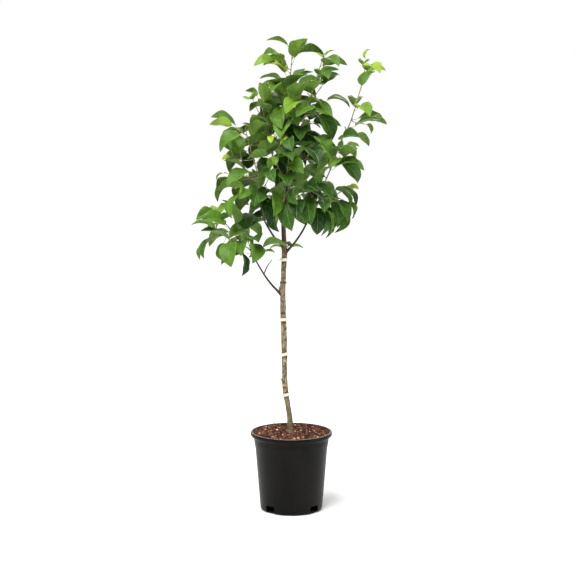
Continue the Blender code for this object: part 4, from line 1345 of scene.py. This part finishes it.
def cut_out(piece, cutters):
    """Cut closed shapes out of a piece, and drop the shapes."""
    shapes = bpy.data.collections.new("cutters")
    bpy.context.scene.collection.children.link(shapes)
    for form in cutters:
        mesh = bpy.data.meshes.new("cutter")
        form.to_mesh(mesh)
        form.free()
        shapes.objects.link(bpy.data.objects.new("cutter", mesh))
    difference = piece.modifiers.new("openings", "BOOLEAN")
    difference.operation = "DIFFERENCE"
    difference.operand_type = "COLLECTION"
    difference.collection = shapes
    bpy.context.view_layer.update()
    solved = bpy.data.meshes.new_from_object(piece.evaluated_get(bpy.context.evaluated_depsgraph_get()))
    raw = piece.data
    name = raw.name
    piece.modifiers.clear()
    piece.data = solved
    bpy.data.meshes.remove(raw)
    solved.name = name
    for shape in list(shapes.objects):
        bpy.data.objects.remove(shape)
    bpy.data.collections.remove(shapes)


# Pieces: pot and soil

def pot_profile(settings):
    """Radius and height round the section of the pot, from the middle of its underside over the rim."""
    wall = settings.wall
    rim = settings.rim_radius
    rim_foot = POT_HEIGHT - RIM_DEPTH
    rings = []
    for height in RING_HEIGHTS:
        share = (height - SHOULDER_FOOT_Z) / (rim_foot - SHOULDER_FOOT_Z)
        radius = SHOULDER_FOOT_RADIUS + (SHOULDER_RADIUS - SHOULDER_FOOT_RADIUS) * share
        rings += [
            (radius, height - RING_HALF_WIDTH),
            (radius - RING_DEPTH, height - RING_BOTTOM_HALF_WIDTH),
            (radius - RING_DEPTH, height + RING_BOTTOM_HALF_WIDTH),
            (radius, height + RING_HALF_WIDTH),
        ]
    return (
        (0.0, HOLLOW_HEIGHT),
        (UNDERSIDE_RADIUS - HOLLOW_INSET, HOLLOW_HEIGHT),
        (UNDERSIDE_RADIUS - STANDING_RING_WIDTH, 0.0),
        (UNDERSIDE_RADIUS, 0.0),
        *((FOOT_RADIUS - inset, height) for inset, height in FOOT_ROUND),
        (FOOT_RADIUS, FOOT_Z + FOOT_TURN),
        (STEP_RADIUS - STEP_INSET, STEP_Z - WALL_TURN),
        (SHOULDER_FOOT_RADIUS, SHOULDER_FOOT_Z + WALL_TURN),
        *rings,
        (SHOULDER_RADIUS, rim_foot),
        (rim - RIM_ROUNDING, rim_foot),
        (rim, rim_foot + RIM_ROUNDING),
        (rim, POT_HEIGHT - RIM_ROUNDING),
        (rim - RIM_ROUNDING * RIM_CORNER_RATIO, POT_HEIGHT - RIM_ROUNDING * RIM_CORNER_RATIO),
        (rim - RIM_ROUNDING, POT_HEIGHT),
        *((MOUTH_RADIUS + outset, POT_HEIGHT - drop) for outset, drop in LIP_ROUND),
        (MOUTH_RADIUS, POT_HEIGHT - RIM_ROUNDING),
        (SHOULDER_RADIUS - wall - RIM_LIP_DRAFT, rim_foot),
        (SHOULDER_FOOT_RADIUS - wall, SHOULDER_FOOT_Z + wall),
        (STEP_RADIUS - wall, STEP_Z),
        (FOOT_RADIUS - wall, FOOT_Z + POT_FLOOR),
        (UNDERSIDE_RADIUS - wall, POT_FLOOR),
        (0.0, POT_FLOOR),
    )


def is_level(edge):
    """Tell whether both ends of an edge are at one height."""
    return abs(edge.verts[0].co.z - edge.verts[1].co.z) < SAME_PLACE


def notch_cutters():
    """Blocks with rounded tops that open the wall where it meets the floor."""
    cutters = []
    for bearing in NOTCH_BEARINGS:
        form = bmesh.new()
        bmesh.ops.create_cube(form, size=1.0)
        bmesh.ops.scale(form, vec=(NOTCH_DEPTH, NOTCH_WIDTH, NOTCH_HEIGHT + FOOT_Z), verts=form.verts)
        bmesh.ops.translate(form, vec=(FOOT_RADIUS, 0.0, (NOTCH_HEIGHT - FOOT_Z) / 2), verts=form.verts)
        upper = [
            edge for edge in form.edges
            if all(point.co.z > 0.0 for point in edge.verts)
            and abs(edge.verts[0].co.y - edge.verts[1].co.y) < SAME_PLACE
        ]
        bmesh.ops.bevel(
            form, geom=upper, offset=NOTCH_ROUNDING, affect="EDGES", segments=4, profile=0.5, material=-1,
        )
        turn = Matrix.Rotation(math.radians(bearing), 3, "Z")
        bmesh.ops.rotate(form, cent=AXIS_FOOT, matrix=turn, verts=form.verts)
        cutters.append(form)
    return cutters


def build_pot(settings):
    """Pot: spun shell with a rolled rim, faint rings under its rim and openings at its foot."""
    form = bmesh.new()
    spin_profile(form, pot_profile(settings), settings.steps)
    moulded = [
        edge for edge in form.edges
        if is_level(edge) and len(edge.link_faces) == 2
        and edge.calc_face_angle(0.0) > math.radians(MOULDED_EDGE_ANGLE)
    ]
    bmesh.ops.bevel(
        form, geom=moulded, offset=settings.edge, affect="EDGES", segments=2, profile=0.5, material=-1,
        clamp_overlap=True,
    )
    pot = show_form("pot_shell", form, [plastic_finish(settings)], ["pot"])
    cut_out(pot, notch_cutters())
    pot.data.shade_smooth()
    pot.data.set_sharp_from_angle(angle=math.radians(SHARP_ANGLE))


def bed_height(x, y, relief):
    """Height of the soil's bed at a place."""
    height = BED_TOP
    for scale, layer, share in BED_HEAPS:
        height += relief * share * noise.noise(Vector((x * scale, y * scale, layer)))
    return height


def build_bed(settings):
    """Bed: uneven soil that fills the pot, with painted shade: near black below the pot's shoulder, where it
    shows only through the openings.
    """
    wall = POT_WALL + GAP
    form = bmesh.new()
    profile = [(BED_RADIUS * ring / BED_RINGS, BED_TOP) for ring in range(BED_RINGS + 1)]
    profile += [
        (SHOULDER_FOOT_RADIUS - wall, SHOULDER_FOOT_Z + POT_WALL),
        (STEP_RADIUS - wall, STEP_Z),
        (FOOT_RADIUS - wall, FOOT_Z + POT_FLOOR),
        (UNDERSIDE_RADIUS - wall, POT_FLOOR + GAP),
        (0.0, POT_FLOOR + GAP),
    ]
    spin_profile(form, profile, BED_STEPS)
    for point in form.verts:
        if point.co.z > BED_TOP - BED_MARGIN and point.co.xy.length < BED_RADIUS - BED_MARGIN:
            point.co.z = bed_height(point.co.x, point.co.y, settings.relief)
    # Painted shade: faces below the shoulder take the near-black finish
    for face in form.faces:
        face.material_index = 1 if face.calc_center_median().z < SHOULDER_FOOT_Z else 0
    bed = plain_finish("soil bed", settings.bed, SOIL_BED)
    depth = plain_finish("soil depth", settings.depth, SOIL_PAINTED_SHADE)
    show_form("soil_bed", form, [bed, depth], ["soil"])


def draw_chip(settings, rng):
    """Draw one bark chip at random, and return its corners, its middle and its length."""
    length = settings.chip_length * rng.uniform(*CHIP_LENGTHS) ** CHIP_LENGTH_BIAS
    radius = (BED_RADIUS - length * CHIP_ROOM) * math.sqrt(rng.random())
    bearing = rng.uniform(0.0, math.tau)
    x, y = radius * math.cos(bearing), radius * math.sin(bearing)
    sides = (length, length * rng.uniform(*CHIP_WIDTHS), length * rng.uniform(*CHIP_THICKNESSES))
    turn = (Matrix.Rotation(rng.uniform(0.0, math.tau), 3, "Z")
            @ Matrix.Rotation(rng.gauss(0.0, CHIP_TILT_RADIANS), 3, "X")
            @ Matrix.Rotation(rng.gauss(0.0, CHIP_TILT_RADIANS), 3, "Y"))
    lift = bed_height(x, y, settings.relief) + sides[2] * CHIP_SEAT + rng.uniform(0.0, CHIP_HEAP)
    middle = Vector((x, y, lift))
    corners = []
    for ends in CHIP_CORNERS:
        tapers = [1.0 - CHIP_TAPER * rng.random() for end in ends]
        corner = Vector([end * side / 2 * taper for end, side, taper in zip(ends, sides, tapers)])
        corners.append(middle + turn @ corner)
    return corners, middle, length


def build_soil(settings):
    """Soil: an uneven bed covered with loose bark chips in four tones, clear of the trunk."""
    build_bed(settings)
    rng = random.Random(CHIP_SEED)
    heaps = {tone: Heap() for tone in CHIP_TONES}
    trunk_foot = Vector(TRUNK[0][:2])
    for chip in range(settings.chips):
        tone = rng.choices(list(CHIP_TONES), list(CHIP_TONES.values()))[0]
        corners, middle, length = draw_chip(settings, rng)
        if (middle.xy - trunk_foot).length > TRUNK[0][3] + length * CHIP_ROOM:
            heaps[tone].add((corners, CHIP_FACES), 0)
    for tone, heap in heaps.items():
        chips = plain_finish(f"{tone} chips", getattr(settings, tone), CHIPS)
        show_heap(f"soil_chips_{tone}", heap, [chips], ["soil"])


# Pieces: trunk, boughs and ties

def bark_noise(place, scales, seed):
    """Unevenness of the bark at a place, from -1 to 1."""
    x, y, z = scales
    return noise.noise(Vector((place.x * x, place.y * y, place.z * z + seed)))


def bark_rings(stations, sides, rings_per_span, relief, seed, knots=(), collar=False, flare=False):
    """Rings of an uneven limb, with its knots, a collar at its foot or a root flare."""
    path = smooth_path(stations, rings_per_span)
    travelled = 0.0
    before = path[0].to_3d()
    rings = []
    for mark, (centre, along, side) in zip(path, frames(path, UP if flare else None)):
        travelled += (centre - before).length
        before = centre
        across = along.cross(side)
        ring = []
        for step in range(sides):
            angle = math.tau * step / sides
            out = side * math.cos(angle) + across * math.sin(angle)
            place = centre + out * mark.w
            lumps = bark_noise(place, LUMP_SCALES, seed)
            wrinkles = bark_noise(place, WRINKLE_SCALES, seed)
            radius = mark.w * (1.0 + relief * (lumps + WRINKLE_SHARE * wrinkles))
            if collar:
                radius *= 1.0 + COLLAR_SWELL * math.exp(-max(travelled - COLLAR_START, 0.0) / COLLAR_LENGTH)
            if flare:
                lobes = 1.0 + math.cos(FLARE_LOBES * angle + seed)
                radius *= 1.0 + FLARE_DEPTH * lobes * math.exp(-max(centre.z - SOIL_TOP, 0.0) / FLARE_HEIGHT)
            for height, bearing, stand, spread in knots:
                near = math.exp(-((centre.z - height) / spread) ** 2)
                if near > FAINTEST:
                    heading = math.radians(bearing)
                    facing = out.x * math.cos(heading) + out.y * math.sin(heading)
                    radius += stand * near * math.exp((facing - 1.0) * KNOT_FADE)
            ring.append(centre + out * radius)
        rings.append(ring)
    return rings


def mark_stains_and_shade(mesh):
    """Mark how dark the trunk's bark is at each point: stains round its knots, and dirt with painted shade
    along the edges of its ties, darkest just under each tie.
    """
    stains_and_shade = []
    for point in mesh.vertices:
        x, y, z = point.co
        stain = 0.0
        for height, bearing, stand, spread in KNOTS:
            near = math.exp(-((z - height) / (spread * KNOT_STAIN_SPREAD)) ** 2)
            if near > FAINTEST:
                facing = math.cos(math.atan2(y, x - TRUNK_MIDDLE_X) - math.radians(bearing))
                stain += KNOT_STAIN * near * math.exp((facing - 1.0) * KNOT_STAIN_FADE)
        # Dirt with painted shade: a dark line just under each tie and a fainter one just over it
        for name, height, slant, bearing in TIES:
            below = height + math.tan(math.radians(slant)) * (x - TRUNK_MIDDLE_X) - TIE_HEIGHT / 2 - z
            above = below + TIE_HEIGHT
            stain += TIE_SHADE_AND_STAIN * math.exp(-((below - TIE_SHADE_AND_STAIN_OFFSET) / TIE_SHADE_AND_STAIN_BELOW) ** 2)
            stain += TIE_SHADE_AND_STAIN / 2 * math.exp(-((above + TIE_SHADE_AND_STAIN_OFFSET) / TIE_SHADE_AND_STAIN_ABOVE) ** 2)
        stains_and_shade.append(min(stain, 1.0))
    mesh.attributes.new("stain", "FLOAT", "POINT").data.foreach_set("value", stains_and_shade)


def build_limbs(settings):
    """Trunk, leader and boughs as uneven limbs with bark."""
    relief = settings.relief
    pores = tuple(settings.pores)
    light = tuple(settings.bough_light)
    tints = ((light, CROWN_TINT), (tuple(settings.trunk_foot), FOOT_TINT))
    trunk_bark = bark_finish("trunk bark", tuple(settings.trunk_light), tuple(settings.trunk_dark), pores,
                             TRUNK_BARK_SCALE, TRUNK_PORE_SCALE, tints, tuple(settings.stain))
    bough_bark = bark_finish("bough bark", light, tuple(settings.bough_dark), pores,
                             BOUGH_BARK_SCALE, BOUGH_PORE_SCALE)
    form = bmesh.new()
    skin_rings(form, bark_rings((BURIED_FOOT, *TRUNK), TRUNK_FINE_SIDES, TRUNK_FINE_RINGS, relief,
                                TRUNK_SEED, knots=(*KNOTS, BOUGH_SWELLING), flare=True))
    skin_rings(form, bark_rings(PRUNING_STUB, BOUGH_FINE_SIDES, BOUGH_FINE_RINGS, relief, STUB_SEED))
    mark_stains_and_shade(show_form("trunk_bark", form, [trunk_bark], ["trunk"]).data)
    boughs = [name for name in LIMBS if name != "trunk"]
    for seed, name in enumerate(boughs, FIRST_BOUGH_SEED):
        stations = LIMBS[name]
        form = bmesh.new()
        if name == "leader":
            tip_direction = frames(smooth_path(TRUNK, 1))[-1][1]
            sunk = Vector(stations[0]) - Vector((*tip_direction, 0.0)) * LEADER_SINK
            stations = (tuple(sunk), *stations)
        skin_rings(form, bark_rings(stations, BOUGH_FINE_SIDES, BOUGH_FINE_RINGS, relief, seed,
                                    collar=name != "leader"))
        if name == "low_left_bough":
            skin_rings(form, bark_rings(BARE_TWIG, TWIG_SIDES, BOUGH_FINE_RINGS, relief, BARE_TWIG_SEED))
        show_form(f"{name}_bark", form, [bough_bark], [name])


def tie_band(form, inner, settings):
    """Band of a tie: a crowned strip round the trunk, creased a little."""
    outer = inner + settings.thickness
    half = settings.height / 2
    spin_profile(form, (
        (inner, -half), (inner, half), (outer - TIE_EDGE_ROUND, half), (outer, half * TIE_EDGE_RATIO),
        (outer + TIE_CROWN, 0.0), (outer, -half * TIE_EDGE_RATIO), (outer - TIE_EDGE_ROUND, -half),
    ), TIE_STEPS, closed=True)
    x, y, z = TIE_CREASE_SCALES
    for point in form.verts:
        crease = TIE_CREASE * noise.noise(Vector((point.co.x * x, point.co.y * y, point.co.z * z)))
        point.co += point.co.xy.normalized().to_3d() * crease


def tie_end(form, start, bearing):
    """Loose end of a tie: a soft strip that narrows, curls and droops."""
    turn = Matrix.Rotation(math.radians(bearing), 3, "Z")
    side = TIE_END_THICKNESS / 2
    width = TIE_END_HEIGHT / 2
    rings = []
    for span in range(TIE_END_SPANS + 1):
        share = span / TIE_END_SPANS
        drop = TIE_END_LENGTH * TIE_END_DROOP * share ** TIE_END_DROOP_BEND
        narrow = width * (1.0 - TIE_END_NARROWING * share ** 3)
        curl = TIE_END_CURL * math.sin(share * TIE_END_CURL_RADIANS)
        ring = []
        for step in range(TIE_END_SIDES):
            angle = math.tau * step / TIE_END_SIDES
            ring.append(turn @ Vector((
                start + TIE_END_LENGTH * share,
                curl + side * math.cos(angle),
                narrow * math.sin(angle) - drop,
            )))
        rings.append(ring)
    skin_rings(form, rings)


def build_ties(settings):
    """Ties: snug cream bands, each with a soft loose end."""
    finish = tie_finish(settings)
    path = limb_paths()["trunk"]
    fine_path = smooth_path(TRUNK, TIE_SEARCH_RINGS)
    foot = path[0].z
    for name, height, slant, bearing in TIES:
        centre = place_on(path, (height - foot) / (path[-1].z - foot))[0]
        inner = min(fine_path, key=lambda mark: abs(mark.z - centre.z)).w + TIE_SLACK
        form = bmesh.new()
        tie_band(form, inner, settings)
        lean = math.tan(math.radians(slant))
        for point in form.verts:
            point.co.z += lean * point.co.x
        tie_end(form, inner + settings.thickness / 2, bearing)
        bmesh.ops.translate(form, vec=centre, verts=form.verts)
        show_form(f"{name}_band", form, [finish], [name])


# Pieces: sprays

def blade_width(share):
    """Width of a leaf as it shows, drawn in a little more towards its tip than the solid's."""
    return leaf_width(share) * (1.0 - BLADE_TIP_DRAW_IN * share ** BLADE_TIP_SHARPNESS)


def blade_shape(leaf, thickness, bulge, waves, phase):
    """A leaf's blade as a thin closed shape on the solid's midrib, with which of its faces are upper side,
    underside and rib, and the place of each point across and along the leaf."""
    across = leaf.along.cross(leaf.up)
    fold = math.radians(BLADE_FOLD)
    columns = len(BLADE_COLUMNS)
    inner = columns - 2
    tops, bottoms, marks = [], [], []
    for share in BLADE_STATIONS:
        point, up = midrib(leaf, share)
        half = max(LEAF_WIDTH_RATIO * leaf.length / 2 * blade_width(share), RIB_HALF_WIDTH)
        for column in BLADE_COLUMNS:
            out = abs(column)
            rib = out == RIB_COLUMN
            spread = math.copysign(RIB_HALF_WIDTH, column) if rib else half * math.cos(fold) * column
            ripple = EDGE_RIPPLE * half * out * out * math.sin(math.tau * waves * share + phase * column)
            lift = half * (math.sin(fold) * out + bulge * (out - out * out)) + ripple
            if rib:
                lift = 0.0
            top = point + across * spread + up * lift
            tops.append(top)
            if out < 1.0:
                deep = thickness + (RIB_DEPTH * (1.0 - share) if rib else 0.0)
                bottoms.append(top - up * deep)
            marks.append((column, share))
    tip = midrib(leaf, 1.0)[0]
    points = tops + bottoms + [tip]
    marks += [mark for mark in marks if abs(mark[0]) < 1.0] + [(0.0, 1.0)]
    last = len(points) - 1
    rows = len(BLADE_STATIONS)

    def low(row, column):
        if column in (0, columns - 1):
            return row * columns + column
        return rows * columns + row * inner + column - 1

    faces, kinds = [], []
    for row in range(rows):
        for column in range(columns - 1):
            is_rib = column == columns // 2 - 1
            kind = RIB_FACE if is_rib else UPPER_FACE
            under = RIB_FACE if is_rib else UNDER_FACE
            a, b = row * columns + column, row * columns + column + 1
            c, d = low(row, column), low(row, column + 1)
            if row == rows - 1:
                faces += [(a, b, last), (d, c, last)]
                kinds += [kind, under]
                continue
            above = (row + 1) * columns + column
            e, f = low(row + 1, column), low(row + 1, column + 1)
            faces += [(a, b, above + 1), (a, above + 1, above), (c, f, d), (c, e, f)]
            kinds += [kind, kind, under, under]
    faces.append((*(low(0, column) for column in range(columns)), *range(inner, 0, -1)))
    kinds.append(RIB_FACE)
    return points, faces, kinds, marks


def stalk_shape(leaf):
    """A leaf's stalk, bowed a little and slimmer in its middle."""
    stations = []
    stalk = leaf.base - leaf.root
    for share, slim in STALK_PROFILE:
        bow = leaf.up * (-STALK_BOW * stalk.length * 4 * share * (1 - share))
        stations.append(Vector((*(leaf.root + stalk * share + bow), STALK_RADIUS * slim)))
    return tube(stations, STALK_SIDES)


def bud_shape(foot, heading, length, radius):
    """A pointed bud."""
    side = heading.orthogonal().normalized()
    across = heading.cross(side)
    rings = []
    for place, swell in BUD_PROFILE:
        ring = []
        for step in range(BUD_SIDES):
            angle = math.tau * step / BUD_SIDES
            out = side * math.cos(angle) + across * math.sin(angle)
            ring.append(foot + heading * (length * place) + out * (radius * swell))
        rings.append(ring)
    rings.append([foot + heading * length])
    return loft(rings)


def spur_shape(foot, heading, length):
    """A short wrinkled spur."""
    stations = []
    for ring in range(SPUR_RINGS + 1):
        share = ring / SPUR_RINGS
        place = foot + heading * (length * share)
        stations.append(Vector((*place, SPUR_RADIUS * SPUR_SWELLS[ring % 2])))
    return tube(stations, BUD_SIDES)


def tone_of(shares, place, rng):
    """Deal a leaf its tone by a spray's shares: leaves near the end of a twig are younger."""
    age = AGE_FROM_PLACE * place + (1.0 - AGE_FROM_PLACE) * rng.random()
    total = 0.0
    for tone, part in enumerate(shares):
        total += part
        if age < total:
            return tone
    return max(tone for tone, part in enumerate(shares) if part > 0.0)


def add_leaf(heap, leaf, tone, thickness, rng):
    """Add a leaf's blade and stalk to a spray's heap."""
    points, faces, kinds, marks = blade_shape(
        leaf, thickness, rng.uniform(*BLADE_BULGE), rng.uniform(*EDGE_WAVES), rng.uniform(0.0, math.tau))
    rib = 2 * len(TONES)
    finish = {UPPER_FACE: tone, UNDER_FACE: len(TONES) + tone, RIB_FACE: rib}
    heap.add((points, faces), [finish[kind] for kind in kinds], marks)
    heap.add(stalk_shape(leaf), rib + 1)


def tip_leaves(twig, spray, stem, foliage, rng):
    """Draw the small young leaves at a twig's end, each clear of the other leaves."""
    drawn = []
    turn = rng.uniform(0, 360)
    for index in range(TIP_LEAVES):
        turn += TURN_PER_LEAF
        leaf = draw_leaf(twig, 1.0, turn, rng.uniform(*TIP_LEAF_SIZE), spray.droop, rng)
        shape = leaf_shape(leaf)
        if in_reach(leaf, stem, spray.reach) and is_clear(shape, foliage):
            foliage.append(tree_of(shape))
            drawn.append(leaf)
    return drawn


def leaf_finishes(settings):
    """Finishes of the leaves: the upper sides, the undersides, then the rib and the stalk."""
    tones = {tone: tuple(getattr(settings, tone)) for tone in TONES}
    finishes = []
    for tone, colour in tones.items():
        margin = blend(colour, settings.young, MARGIN_YOUTH)
        finishes.append(leaf_finish(f"{tone} leaf", colour, settings.roughness, VEIN_STRENGTH, margin))
    # Undersides: partly their own paler colour, partly a painted glow of light through the blade
    for tone, colour in tones.items():
        finishes.append(leaf_finish(
            f"{tone} leaf underside", blend(colour, settings.under, UNDERSIDE_PALING_AND_GLOW),
            settings.roughness + UNDERSIDE_DULLING, UNDERSIDE_VEIN_STRENGTH, tuple(settings.under)))
    finishes.append(plain_finish("leaf rib", settings.rib, LEAF_RIB))
    finishes.append(plain_finish("leaf stalk", settings.stalk, LEAF_STALK))
    return finishes


def twig_finishes(settings):
    """Finishes of the twigs: pale bark, dark bark and bud scales."""
    dark = tuple(settings.twig_dark)
    pores = tuple(settings.pores)
    middle = blend(settings.bough_light, dark, 0.5)
    return (
        bark_finish("twig bark", tuple(settings.twig_light), dark, pores, TWIG_BARK_SCALE, TWIG_PORE_SCALE),
        bark_finish("dark twig bark", middle, tuple(settings.bough_dark), pores,
                    TWIG_BARK_SCALE, TWIG_PORE_SCALE),
        plain_finish("bud scales", settings.buds, BUD_SCALES),
    )


def add_bud(wood, twig, leaf, share, length):
    """Add the bud that sits over a leaf's foot to a spray's wood."""
    root, along, side = place_on(twig, share)
    out = (leaf.base - leaf.root).normalized()
    out = (out - along * out.dot(along)).normalized()
    heading = (along + out * BUD_LEAN).normalized()
    radius = twig[0].w + (twig[-1].w - twig[0].w) * share
    foot = root + along * BUD_RISE + out * radius
    wood.add(bud_shape(foot, heading, length, length * BUD_WIDTH_RATIO), 1)


def add_spurs(wood, stem, foliage, bud_length, rng):
    """Add short spurs with their buds along a stem, each clear of the leaves, to a spray's wood."""
    for spur in range(SPURS_PER_STEM):
        root, along, side = place_on(stem, rng.uniform(*SPUR_PLACES))
        out = Matrix.Rotation(rng.uniform(0.0, math.tau), 3, along) @ side
        heading = (along * SPUR_RISE + out).normalized()
        length = rng.uniform(*SPUR_LENGTH)
        shape = spur_shape(root, heading, length)
        if is_clear(shape, foliage):
            wood.add(shape, 0)
            wood.add(bud_shape(root + heading * length, heading, bud_length, SPUR_RADIUS * SPUR_BUD_RATIO), 1)


def build_sprays(leaf_settings, bark_settings):
    """Sprays: for each, one piece of leaves and one of twigs with their buds and spurs."""
    finishes = leaf_finishes(leaf_settings)
    pale_twig, dark_twig, bud = twig_finishes(bark_settings)
    thickness = leaf_settings.thickness
    bud_length = leaf_settings.bud_length
    rng = random.Random(LOOK_SEED)
    tone_rng = random.Random(TONE_SEED)
    crown, foliage = grow_crown(limb_paths())
    for name, twigs in crown.items():
        spray = SPRAYS[name]
        stem = twigs[0][0]
        leaves = Heap()
        wood = Heap()
        for index, (twig, grown) in enumerate(twigs):
            wood.add(tube(smooth_path(twig, TWIG_RINGS_PER_SPAN), TWIG_SIDES), 0)
            tip, along, side = place_on(twig, 1.0)
            wood.add(bud_shape(
                tip, along, bud_length * TERMINAL_BUD_RATIO, twig[-1].w * TERMINAL_BUD_RATIO), 1)
            age = 1.0 if index == 0 or spray.shoots[index - 1].at > TIP_SHOOT_START else SHOOT_AGE
            for leaf, share in grown:
                add_leaf(leaves, leaf, tone_of(SPRAY_TONES[name], share * age, tone_rng), thickness, rng)
                add_bud(wood, twig, leaf, share, bud_length)
            for leaf in tip_leaves(twig, spray, stem, foliage, rng):
                tone = "young" if rng.random() < TIP_LEAF_YOUNG_SHARE else "fresh"
                add_leaf(leaves, leaf, TONES.index(tone), thickness, rng)
            if index == 0 and len(grown) > SPURS_PER_STEM:
                add_spurs(wood, stem, foliage, bud_length, rng)
        bark = dark_twig if name in DARK_TWIG_SPRAYS else pale_twig
        show_heap(f"{name}_leaves", leaves, finishes, [name])
        show_heap(f"{name}_twigs", wood, [bark, bud], [name])


# Floor, lights and camera

def add_light(name, kind, place, target, strength):
    """Add one light that shines from a place to a target, and return its values."""
    light = bpy.data.lights.new(name, kind)
    light.energy = strength
    lamp = bpy.data.objects.new(name, light)
    lamp.location = place
    lamp.rotation_euler = (Vector(target) - Vector(place)).to_track_quat("-Z", "Y").to_euler()
    bpy.context.scene.collection.objects.link(lamp)
    return light


def build_floor(settings):
    """Floor: a pale disc just under the pot."""
    form = bmesh.new()
    bmesh.ops.create_circle(form, cap_ends=True, radius=settings.floor_radius, segments=FLOOR_STEPS)
    bmesh.ops.translate(form, vec=(0.0, 0.0, -GAP), verts=form.verts)
    mesh = bpy.data.meshes.new("floor")
    form.to_mesh(mesh)
    form.free()
    mesh.materials.append(new_finish("pale floor", settings.floor, FLOOR_ROUGHNESS, FLOOR_GLOSS)[0])
    floor = bpy.data.objects.new("floor", mesh)
    bpy.context.scene.collection.objects.link(floor)


def build_sky(strength):
    """Sky: soft light from all round, which the camera sees as white."""
    world = bpy.data.worlds.new("studio")
    bpy.context.scene.world = world
    world.use_nodes = True
    tree = world.node_tree
    tree.nodes.clear()
    seen = add_node(tree, "ShaderNodeBackground", {"Color": BACKDROP_COLOUR, "Strength": 1.0})
    around = add_node(tree, "ShaderNodeBackground", {"Color": SKY_COLOUR, "Strength": strength})
    path = tree.nodes.new("ShaderNodeLightPath")
    both = add_node(tree, "ShaderNodeMixShader", {
        "Fac": path.outputs["Is Camera Ray"], 1: around.outputs[0], 2: seen.outputs[0],
    })
    add_node(tree, "ShaderNodeOutputWorld", {"Surface": both.outputs[0]})


def build_camera():
    """Camera: where and how the photograph was taken."""
    lens = bpy.data.cameras.new("photo camera")
    lens.sensor_width = SENSOR_WIDTH
    lens.lens = CAMERA_FOCUS_IN_PIXELS / PHOTO_WIDTH * SENSOR_WIDTH
    lens.clip_end = FARTHEST_SEEN
    camera = bpy.data.objects.new("photo camera", lens)
    camera.location = (CAMERA_X, -CAMERA_DISTANCE, CAMERA_HEIGHT)
    camera.rotation_euler = (math.radians(90.0 - CAMERA_PITCH), 0.0, 0.0)
    bpy.context.scene.collection.objects.link(camera)
    bpy.context.scene.camera = camera


def build_stage(settings):
    """Stage: pale floor, soft studio light and the photograph's camera."""
    build_floor(settings)
    build_sky(settings.sky)
    add_light("sun", "SUN", SUN_PLACE, AXIS_FOOT, settings.sun).angle = math.radians(SUN_SPREAD)
    for name, (place, target, size, power) in LAMPS.items():
        light = add_light(name, "AREA", place, target, getattr(settings, power))
        light.shape = "RECTANGLE"
        light.size, light.size_y = size
    build_camera()
    bpy.context.scene.view_settings.view_transform = "Standard"


# Operators and panel

class PEARTREE_OT_stage(Operator):
    """Make the floor, the lights and the camera"""
    bl_idname = "peartree.stage"
    bl_label = "Stage"

    def execute(self, context):
        build_stage(context.scene.pear_stage)
        return {"FINISHED"}


class PEARTREE_OT_pot(Operator):
    """Make the nursery pot"""
    bl_idname = "peartree.pot"
    bl_label = "Pot"

    def execute(self, context):
        build_pot(context.scene.pear_pot)
        return {"FINISHED"}


class PEARTREE_OT_soil(Operator):
    """Fill the pot with soil and bark chips"""
    bl_idname = "peartree.soil"
    bl_label = "Soil"

    def execute(self, context):
        build_soil(context.scene.pear_soil)
        return {"FINISHED"}


class PEARTREE_OT_limbs(Operator):
    """Make the trunk, the leader and the boughs"""
    bl_idname = "peartree.limbs"
    bl_label = "Trunk and Boughs"

    def execute(self, context):
        build_limbs(context.scene.pear_bark)
        return {"FINISHED"}


class PEARTREE_OT_ties(Operator):
    """Make the ties round the trunk"""
    bl_idname = "peartree.ties"
    bl_label = "Ties"

    def execute(self, context):
        build_ties(context.scene.pear_tie)
        return {"FINISHED"}


class PEARTREE_OT_sprays(Operator):
    """Grow the twigs and the leaves"""
    bl_idname = "peartree.sprays"
    bl_label = "Twigs and Leaves"

    def execute(self, context):
        build_sprays(context.scene.pear_leaf, context.scene.pear_bark)
        return {"FINISHED"}


OPERATORS = (
    PEARTREE_OT_stage,
    PEARTREE_OT_pot,
    PEARTREE_OT_soil,
    PEARTREE_OT_limbs,
    PEARTREE_OT_ties,
    PEARTREE_OT_sprays,
)


class PEARTREE_PT_panel(Panel):
    """Lists the tree's settings and the steps that make its pieces"""
    bl_idname = "PEARTREE_PT_panel"
    bl_label = "Pear Tree"
    bl_space_type = "VIEW_3D"
    bl_region_type = "UI"
    bl_category = "Pear Tree"

    def draw(self, context):
        for name, group in SETTINGS.items():
            box = self.layout.box()
            box.label(text=group.__doc__)
            settings = getattr(context.scene, name)
            for setting in group.__annotations__:
                box.prop(settings, setting)
        for operator in OPERATORS:
            self.layout.operator(operator.bl_idname)


def register():
    """Add the settings, the operators and the panel to Blender."""
    for name, group in SETTINGS.items():
        bpy.utils.register_class(group)
        setattr(bpy.types.Scene, name, PointerProperty(type=group))
    for operator in OPERATORS:
        bpy.utils.register_class(operator)
    bpy.utils.register_class(PEARTREE_PT_panel)


def unregister():
    """Take the panel, the operators and the settings out of Blender."""
    bpy.utils.unregister_class(PEARTREE_PT_panel)
    for operator in reversed(OPERATORS):
        bpy.utils.unregister_class(operator)
    for name, group in reversed(SETTINGS.items()):
        delattr(bpy.types.Scene, name)
        bpy.utils.unregister_class(group)


def main():
    """Make every piece in order."""
    register()
    for operator in OPERATORS:
        step = operator.bl_idname.split(".")[1]
        getattr(bpy.ops.peartree, step)()


if __name__ == "__main__":
    main()
